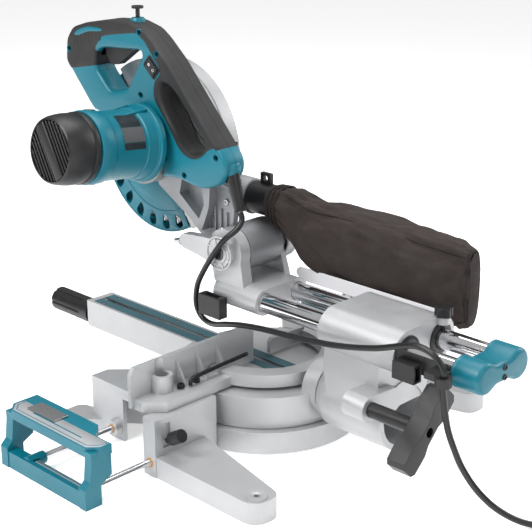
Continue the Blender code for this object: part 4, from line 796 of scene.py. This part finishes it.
def make_hinge_details():
    """Rings, short ribs and a black plug on the end of the plunge hinge."""
    place = facing((HINGE_FACE, *PIVOT), (1, 0, 0))
    for k, (inner, outer) in enumerate(((0.0088, 0.0134), (0.0205, 0.0232))):
        ring = [(inner, 0), (outer, 0), (outer, 0.0009), (outer - 0.0006, 0.0014),
                (inner + 0.0006, 0.0014), (inner, 0.0009)]
        turned(f"hinge_ring_{k}", ring, place, SILVER, "carriage", 64)
    plug = [(0, 0), (0.0078, 0), (0.0078, 0.0006), (0.0060, 0.0010), (0.0040, 0.0004), (0, 0.0004)]
    turned("hinge_plug", plug, facing((PIN_FACE, *PIVOT), (1, 0, 0)), BLACK, "carriage", 48)
    for k in range(8):
        turn = place @ Matrix.Rotation(math.radians(22.5 + 45 * k), 4, "Z")
        block(f"hinge_rib_{k}", (0.0134, -0.0010, -0.0002), (0.0206, 0.0010, 0.0011), SILVER,
              "carriage", 0.0003, turn)


def make_slide_details():
    """Seals round the poles and bolts in the end cap."""
    for name, x in (("left", -POLE_X), ("right", POLE_X)):
        for k, (y, way) in enumerate(((0.1448, -1), (0.2622, 1))):
            turned(f"pole_seal_{name}_{k}", [
                (0.0128, 0), (0.0205, 0), (0.0205, 0.0012), (0.0190, 0.0022), (0.0150, 0.0026),
                (0.0131, 0.0018)], facing((x, y, POLE_Z), (0, way, 0)), BLACK, "tilt", 56)
    for i, z in enumerate((0.1790, 0.1670)):
        hex_head(f"cap_bolt_{i}", (0.0, 0.3748, z), (0, 1, 0), 0.0075, 0.0014, DARK_STEEL,
                 "carriage")


def make_cap():
    """The slide's end cap: two round lobes, a waist and chamfered ends."""
    lobe = 0.0190
    right = arc((POLE_X, POLE_Z), lobe, -122, 122, 28)
    left = [(-x, z) for x, z in reversed(right)]
    outline = [(0.013, POLE_Z - 0.0125), *right, (0.013, POLE_Z + 0.0125),
               (-0.013, POLE_Z + 0.0125), *left, (-0.013, POLE_Z - 0.0125)]
    cap = plate("end_cap", "Y", outline, 0.3350, 0.3748, TEAL, "carriage", 0.0060, 3)
    for x in (-POLE_X, POLE_X):
        carve(cap, cylinder_cutter((x, 0.2, POLE_Z), (x, 0.3392, POLE_Z), 0.0128, 48))
    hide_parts("pole_end_cap")
    for k, x in enumerate((-POLE_X, POLE_X)):
        turned(f"cap_collar_{k}", [(0.0127, 0), (0.0176, 0), (0.0190, 0.0016), (0.0190, 0.0050),
                                   (0.0184, 0.0058), (0.0127, 0.0058)],
               facing((x, 0.3350, POLE_Z), (0, 1, 0)), TEAL, "carriage", 56)


def make_table_details():
    """Fence bolts, board screws, foot bosses and grease at the rods."""
    for i, x in enumerate((0.160, 0.134, -0.160, -0.134)):
        hex_head(f"fence_bolt_{i}", (x, 0.0100, 0.0893), (0, 0, 1), 0.0095, 0.0058, DARK_STEEL,
                 "base")
    for side, name in ((1, "right"), (-1, "left")):
        for k, y in enumerate((-0.324, -0.190, -0.050)):
            turned(f"board_screw_{name}_{k}", [(0, 0), (0.0028, 0), (0.0029, 0.0010),
                                               (0.0010, 0.0012), (0.0009, 0.0006), (0, 0.0006)],
                   facing((side * 0.0145, y, 0.0721), (0, 0, 1)), STEEL, "turntable", 24)
        x = side * (0.227 - 0.0185)
        turned(f"foot_boss_{name}", [(0.0036, 0), (0.0122, 0), (0.0118, 0.0011), (0.0056, 0.0013),
                                     (0.0036, 0.0003)],
               facing((x, 0.207 - 0.0165, 0.0286), (0, 0, 1)), SILVER, "base", 40)
    for k, y in enumerate((-0.078, 0.027)):
        turned(f"rod_grease_{k}", [(0.0046, 0), (0.0058, 0), (0.0060, 0.0005), (0.0050, 0.0010),
                                   (0.0046, 0.0008)],
               facing((0.2020 if k == 0 else 0.2280, y, 0.018), (1, 0, 0)), GREASE, "base", 28)


def make_wing_details():
    """A silver top plate with a teal line and slot on each extension wing."""
    for name, side, out in (("right", 1, 0.337), ("left", -1, 0.271)):
        body = f"wing_{name}"

        def spot(x, y):
            return (side * (out + x), y)

        top = [spot(-0.0385, -0.1270), spot(-0.0250, -0.1270), spot(-0.0130, -0.1150),
               spot(-0.0130, 0.0270), spot(-0.0250, 0.0390), spot(-0.0385, 0.0390)]
        plate(f"wing_plate_{name}", "Z", rounded(top, 0.002), 0.0731, 0.07415, SILVER, body,
              0.0003, 1)
        ring = inset(rounded(top, 0.002), 0.0034)
        plate(f"wing_line_{name}", "Z", [ring, inset(ring, 0.0014)], 0.0735, 0.0742, TEAL, body,
              0.00008, 1)
        slit = [spot(-0.0262, -0.0900), spot(-0.0240, -0.0900), spot(-0.0240, 0.0050),
                spot(-0.0262, 0.0050)]
        plate(f"wing_slit_{name}", "Z", rounded(slit, 0.0008), 0.0735, 0.0742, TEAL, body,
              0.00008, 1)


# Dust bag -----------------------------------------------------------------------------------

BAG = [(-0.015, -0.034, 0.2850, 0.0215, 0.0215), (0.015, -0.048, 0.2690, 0.027, 0.034),
       (0.036, -0.064, 0.2440, 0.031, 0.0465), (0.075, -0.083, 0.2325, 0.034, 0.053),
       (0.150, -0.089, 0.2255, 0.036, 0.0575), (0.220, -0.089, 0.2225, 0.034, 0.0555),
       (0.256, -0.087, 0.2215, 0.024, 0.053), (0.268, -0.086, 0.2215, 0.010, 0.046)]
BAG_SQUARE = 0.78


def bag_section(t):
    """The bag's centre and half sizes at a place 0..1 along it, on smooth curves."""
    s = t * (len(BAG) - 1)
    i = min(int(s), len(BAG) - 2)
    u = s - i
    rows = [BAG[max(i - 1, 0)], BAG[i], BAG[i + 1], BAG[min(i + 2, len(BAG) - 1)]]
    return [between(p, a, b, n, u) for p, a, b, n in zip(*rows)]


def bag_point(t, angle, lift=0.0):
    """A point on the bag's smooth skin, moved out by a lift, with squared corners."""
    y, x, z, half_w, half_h = bag_section(t)
    c, s = math.cos(angle), math.sin(angle)
    return Vector((x + math.copysign(abs(c) ** BAG_SQUARE, c) * (half_w + lift), y,
                   z + math.copysign(abs(s) ** BAG_SQUARE, s) * (half_h + lift)))


def make_bag():
    """The bag's skin with folds, creases and gathers, and its seams, hem and cuff."""
    steps, sides = 130, 144
    shape = bmesh.new()
    rings = []
    for i in range(steps + 1):
        t = i / steps
        ring = []
        for k in range(sides):
            a = 2 * math.pi * k / sides
            c, s = math.cos(a), math.sin(a)
            spot = Vector((c * 1.4, t * 5.5, s * 1.4))
            ends = min(1, t / 0.12) * min(1, (1 - t) / 0.03)
            fold = noise.noise(spot * 1.6) * 0.0042 + noise.noise(spot * 4.1) * 0.0018
            crease = -abs(noise.noise(Vector((c * 2.0, t * 9.0 + s * 2.2, 7.3)))) * 0.0042
            gather = math.sin(a * 14 + 3 * noise.noise(spot)) * 0.0011 * max(0, 1 - t / 0.25)
            gather += math.sin(a * 11) * 0.0012 * max(0, (t - 0.86) / 0.14)
            reach = (fold + crease + gather - 0.0004) * ends
            ring.append(shape.verts.new(bag_point(t, a) + Vector((c, 0, s)) * min(reach, 0.0012)))
        rings.append(ring)
    for one, two in zip(rings, rings[1:]):
        for k in range(sides):
            j = (k + 1) % sides
            shape.faces.new((one[k], one[j], two[j], two[k]))
    for ring in (rings[0], rings[-1]):
        shape.faces.new(ring)
    bmesh.ops.recalc_face_normals(shape, faces=shape.faces)
    bag = from_bmesh(shape, "bag_skin", CLOTH, "head", 60)
    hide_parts("dust_bag")

    def round_bag(name, t, lift, radius, sides):
        ring = [bag_point(t, math.radians(360 * i / 72), lift) for i in range(73)]
        tube(name, ring, radius, CLOTH_DARK, "head", sides)

    for k, degrees in enumerate((52, 128, 232, 308)):
        seam = [bag_point(0.13 + 0.82 * i / 60, math.radians(degrees), -0.0006) for i in range(61)]
        tube(f"bag_seam_{k}", seam, 0.0011, CLOTH_DARK, "head", 8)
    round_bag("bag_hem_0", 0.945, -0.0007, 0.0012, 8)
    for k in range(3):
        round_bag(f"bag_cuff_{k}", 0.03 + 0.022 * k, 0.0004, 0.0016, 10)


# Leads ----------------------------------------------------------------------------------------

CORD_D = 0.0075
ROUTE_STEP = 0.0022
HEAD_RUN = [
    (0.0365, -0.0081, 0.2869), (0.0365, -0.0055, 0.2780), (0.0440, -0.0060, 0.2670),
    (0.0560, -0.0180, 0.2520), (0.0600, -0.0350, 0.2290), (0.0595, -0.0530, 0.2040),
    (0.0580, -0.0670, 0.1810), (0.0570, -0.0720, 0.1600), (0.0570, -0.0700, 0.1470),
]
SLIDE_RUN = [
    (0.0572, -0.0620, 0.1370), (0.0590, -0.0480, 0.1330), (0.0640, -0.0280, 0.1365),
    (0.0700, -0.0020, 0.1455), (0.0745, 0.0300, 0.1545), (0.0760, 0.0700, 0.1610),
    (0.0760, 0.1320, 0.1665), (0.0755, 0.1900, 0.1740), (0.0750, 0.2450, 0.1865),
    (0.0750, 0.2850, 0.2010), (0.0750, 0.3080, 0.2075), (0.0750, 0.3280, 0.2050),
    (0.0750, 0.3410, 0.1960), (0.0750, 0.3455, 0.1860),
]
TILT_RUN = [
    (0.0750, 0.3455, 0.1700), (0.0750, 0.3490, 0.1450), (0.0735, 0.3540, 0.1200),
    (0.0700, 0.3610, 0.0980),
]
MITRE_RUN = [
    (0.0645, 0.3690, 0.0760), (0.0550, 0.3810, 0.0520), (0.0430, 0.3950, 0.0320),
    (0.0300, 0.4090, 0.0180), (0.0170, 0.4220, 0.0090),
]
FLOOR_RUN = [(0.0050, 0.4330, 0.0048), (-0.0080, 0.4370, 0.0041)]
COIL = (-0.040, 0.492)


def coil_run():
    """The coiled lead: two turns inwards, two outwards on top, one and a half more, the plug."""
    run = list(FLOOR_RUN)
    start, steps = -75.0, 18
    layers = ((0.0041, 0.0515, 0.0365, 2.0), (0.0118, 0.0365, 0.0515, 2.0),
              (0.0195, 0.0512, 0.0425, 1.235))
    turn, height = start, layers[0][0]
    for z, first, last, turns in layers:
        count = round(steps * turns)
        for i in range(count + 1):
            if i == 0 and z > layers[0][0]:
                continue
            angle = math.radians(turn - 360 * turns * i / count)
            radius = first + (last - first) * i / count
            height += max(-0.0018, min(0.0018, z - height))
            run.append((COIL[0] + radius * math.cos(angle), COIL[1] + radius * math.sin(angle),
                        height))
        turn -= 360 * turns
    end = turn % 360
    span, count = end - 90, 9
    for i in range(1, count + 1):
        t = i / count
        ease = t * t * (3 - 2 * t)
        angle = math.radians(end - span * t)
        radius = 0.0425 + 0.0015 * t
        run.append((COIL[0] - 0.0100 * ease + radius * math.cos(angle),
                    COIL[1] + radius * math.sin(angle), 0.0195 + (PLUG_Z - 0.0195) * ease))
    return run


PLUG_Z = 0.0363


def make_leads():
    """One smooth route from the handle to the plug, in stretches between its holding points."""
    runs = (
        ("run_head", HEAD_RUN, ("head", "carriage"), "lead_head", "object", "loose"),
        ("run_slide", SLIDE_RUN, ("carriage", "tilt"), "lead_slide", "object", "loose"),
        ("run_tilt", TILT_RUN, ("tilt", "turntable"), "lead_tilt", "object", "loose"),
        ("run_mitre", MITRE_RUN, ("turntable", "base"), "lead_mitre", "object", "loose"),
        ("run_coil", coil_run(), "base", "lead_coil", "plug", "coiled"),
    )
    knots = [run[1] for run in runs]
    route = smooth_route([k for part in knots for k in part], ROUTE_STEP)
    cuts = [0]
    for one, two in zip(knots, knots[1:]):
        joint = (Vector(one[-1]) + Vector(two[0])) / 2
        ahead = range(cuts[-1], min(len(route), cuts[-1] + 400))
        cuts.append(min(ahead, key=lambda i: (route[i] - joint).length))
    cuts.append(len(route) - 1)
    for run, low, high in zip(runs, cuts, cuts[1:]):
        name, bodies, node, far_end, lay = run[0], *run[2:]
        points = route[low:high + 1]
        obj = tube(name, points, CORD_D / 2, RUBBER, None, 14)
        if isinstance(bodies, str):
            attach(obj, bodies)
        else:
            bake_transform(obj)
        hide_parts(node)
        pieces = make_plug() if far_end == "plug" else ()


def make_plug():
    """A moulded plug: a ribbed neck, a waisted grip, a face and two round pins."""
    y = COIL[1] + 0.044
    place = facing((COIL[0] - 0.010, y, PLUG_Z), (1, 0, 0))
    body = turned("plug_body", [
        (0, 0.0002), (0.0055, 0.0002), (0.0062, 0.0012), (0.0066, 0.0060), (0.0084, 0.0110),
        (0.0094, 0.0170), (0.0090, 0.0230), (0.0098, 0.0300), (0.0116, 0.0345), (0.0118, 0.0400),
        (0.0112, 0.0416), (0, 0.0420)], place, RUBBER, "base", 40)
    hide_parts("plug")
    pieces = [body]
    for i in range(4):
        pieces.append(turned(f"plug_rib_{i}", [
            (0.0050, 0), (0.0094 - 0.0002 * i, 0.0004), (0.0094 - 0.0002 * i, 0.0012),
            (0.0050, 0.0016)], place @ Matrix.Translation((0, 0, 0.0150 + 0.0034 * i)), RUBBER,
            "base", 40))
    for i, side in enumerate((1, -1)):
        start = (COIL[0] + 0.0315, y + side * 0.007, PLUG_Z)
        end = (COIL[0] + 0.0500, y + side * 0.007, PLUG_Z)
        pieces.append(pin(f"plug_pin_{i}", start, end, 0.0023, CHROME, "base", 0.0008, 20))
    return pieces


# Camera and light -------------------------------------------------------------------------------


def make_view():
    """The camera, four area lights, a pale world with a dark band in reflections, the floor."""
    azimuth, elevation = math.radians(134.33), math.radians(19.17)
    back = Vector((math.sin(azimuth) * math.cos(elevation),
                   -math.cos(azimuth) * math.cos(elevation), math.sin(elevation)))
    data = bpy.data.cameras.new("camera")
    data.lens = 85.94
    data.sensor_width = 36
    data.clip_start = 0.05
    camera = bpy.data.objects.new("camera", data)
    bpy.context.scene.collection.objects.link(camera)
    camera.location = (1.1172, 1.0930, 0.7511)
    camera.rotation_mode = "QUATERNION"
    camera.rotation_quaternion = (-back).to_track_quat("-Z", "Y")
    bpy.context.scene.camera = camera
    bpy.context.scene.view_settings.view_transform = "Standard"
    lights = (
        ("key", (1.5, -0.3, 1.7), 1.0, 34, (0.0, 0.05, 0.2)),
        ("fill", (0.3, 1.9, 1.1), 1.2, 9, (0.0, 0.0, 0.25)),
        ("top", (-0.3, -0.2, 2.2), 1.3, 24, (0.0, 0.0, 0.2)),
        ("rim", (-1.6, 0.6, 1.0), 1.0, 12, (0.0, 0.0, 0.25)),
    )
    for name, spot, size, power, aim in lights:
        light = bpy.data.lights.new(name, "AREA")
        light.size = size
        light.energy = power
        lamp = bpy.data.objects.new(name, light)
        bpy.context.scene.collection.objects.link(lamp)
        lamp.location = spot
        way = Vector(spot) - Vector(aim)
        lamp.rotation_mode = "QUATERNION"
        lamp.rotation_quaternion = way.to_track_quat("Z", "Y")
    world = bpy.data.worlds.new("studio")
    bpy.context.scene.world = world
    world.use_nodes = True
    tree = world.node_tree
    place = tree.nodes.new("ShaderNodeTexCoord")
    split = tree.nodes.new("ShaderNodeSeparateXYZ")
    ramp = tree.nodes.new("ShaderNodeValToRGB")
    ramp.color_ramp.elements[0].color = (0.3, 0.3, 0.3, 1)
    ramp.color_ramp.elements[1].color = (0.9, 0.9, 0.9, 1)
    for position, grey in ((0.50, 0.4), (0.53, 0.05), (0.64, 0.08), (0.70, 0.8)):
        step = ramp.color_ramp.elements.new(position)
        step.color = (grey, grey, grey, 1)
    half = tree.nodes.new("ShaderNodeMapRange")
    half.inputs["From Min"].default_value = -1
    tree.links.new(place.outputs["Generated"], split.inputs["Vector"])
    tree.links.new(split.outputs["Z"], half.inputs["Value"])
    tree.links.new(half.outputs["Result"], ramp.inputs["Fac"])
    sky = tree.nodes["Background"]
    tree.links.new(ramp.outputs["Color"], sky.inputs["Color"])
    sky.inputs["Strength"].default_value = 0.55
    path = tree.nodes.new("ShaderNodeLightPath")
    plain = tree.nodes.new("ShaderNodeBackground")
    plain.inputs["Color"].default_value = (1, 1, 1, 1)
    mix = tree.nodes.new("ShaderNodeMixShader")
    tree.links.new(path.outputs["Is Camera Ray"], mix.inputs["Fac"])
    tree.links.new(sky.outputs["Background"], mix.inputs[1])
    tree.links.new(plain.outputs["Background"], mix.inputs[2])
    tree.links.new(mix.outputs["Shader"], tree.nodes["World Output"].inputs["Surface"])
    floor_mesh = bpy.data.meshes.new("floor")
    corners = [(-60, -60, 0), (60, -60, 0), (60, 60, 0), (-60, 60, 0)]
    floor_mesh.from_pydata(corners, [], [(0, 1, 2, 3)])
    floor = bpy.data.objects.new("floor", floor_mesh)
    bpy.context.scene.collection.objects.link(floor)
    paint = bpy.data.materials.new("floor")
    paint.use_nodes = True
    shader = paint.node_tree.nodes["Principled BSDF"]
    shader.inputs["Base Color"].default_value = (0.9, 0.9, 0.9, 1)
    shader.inputs["Emission Color"].default_value = (1, 1, 1, 1)
    shader.inputs["Emission Strength"].default_value = 0.5
    shader.inputs["Roughness"].default_value = 0.75
    floor.data.materials.append(paint)


# Everything -----------------------------------------------------------------------------------

finish_nodes()
make_handle()
make_motor()
make_guard()
make_bag()
make_leads()
make_blade()
make_head_details()
make_hinge_details()
make_slide_details()
make_cap()
make_table_details()
make_wing_details()
make_view()
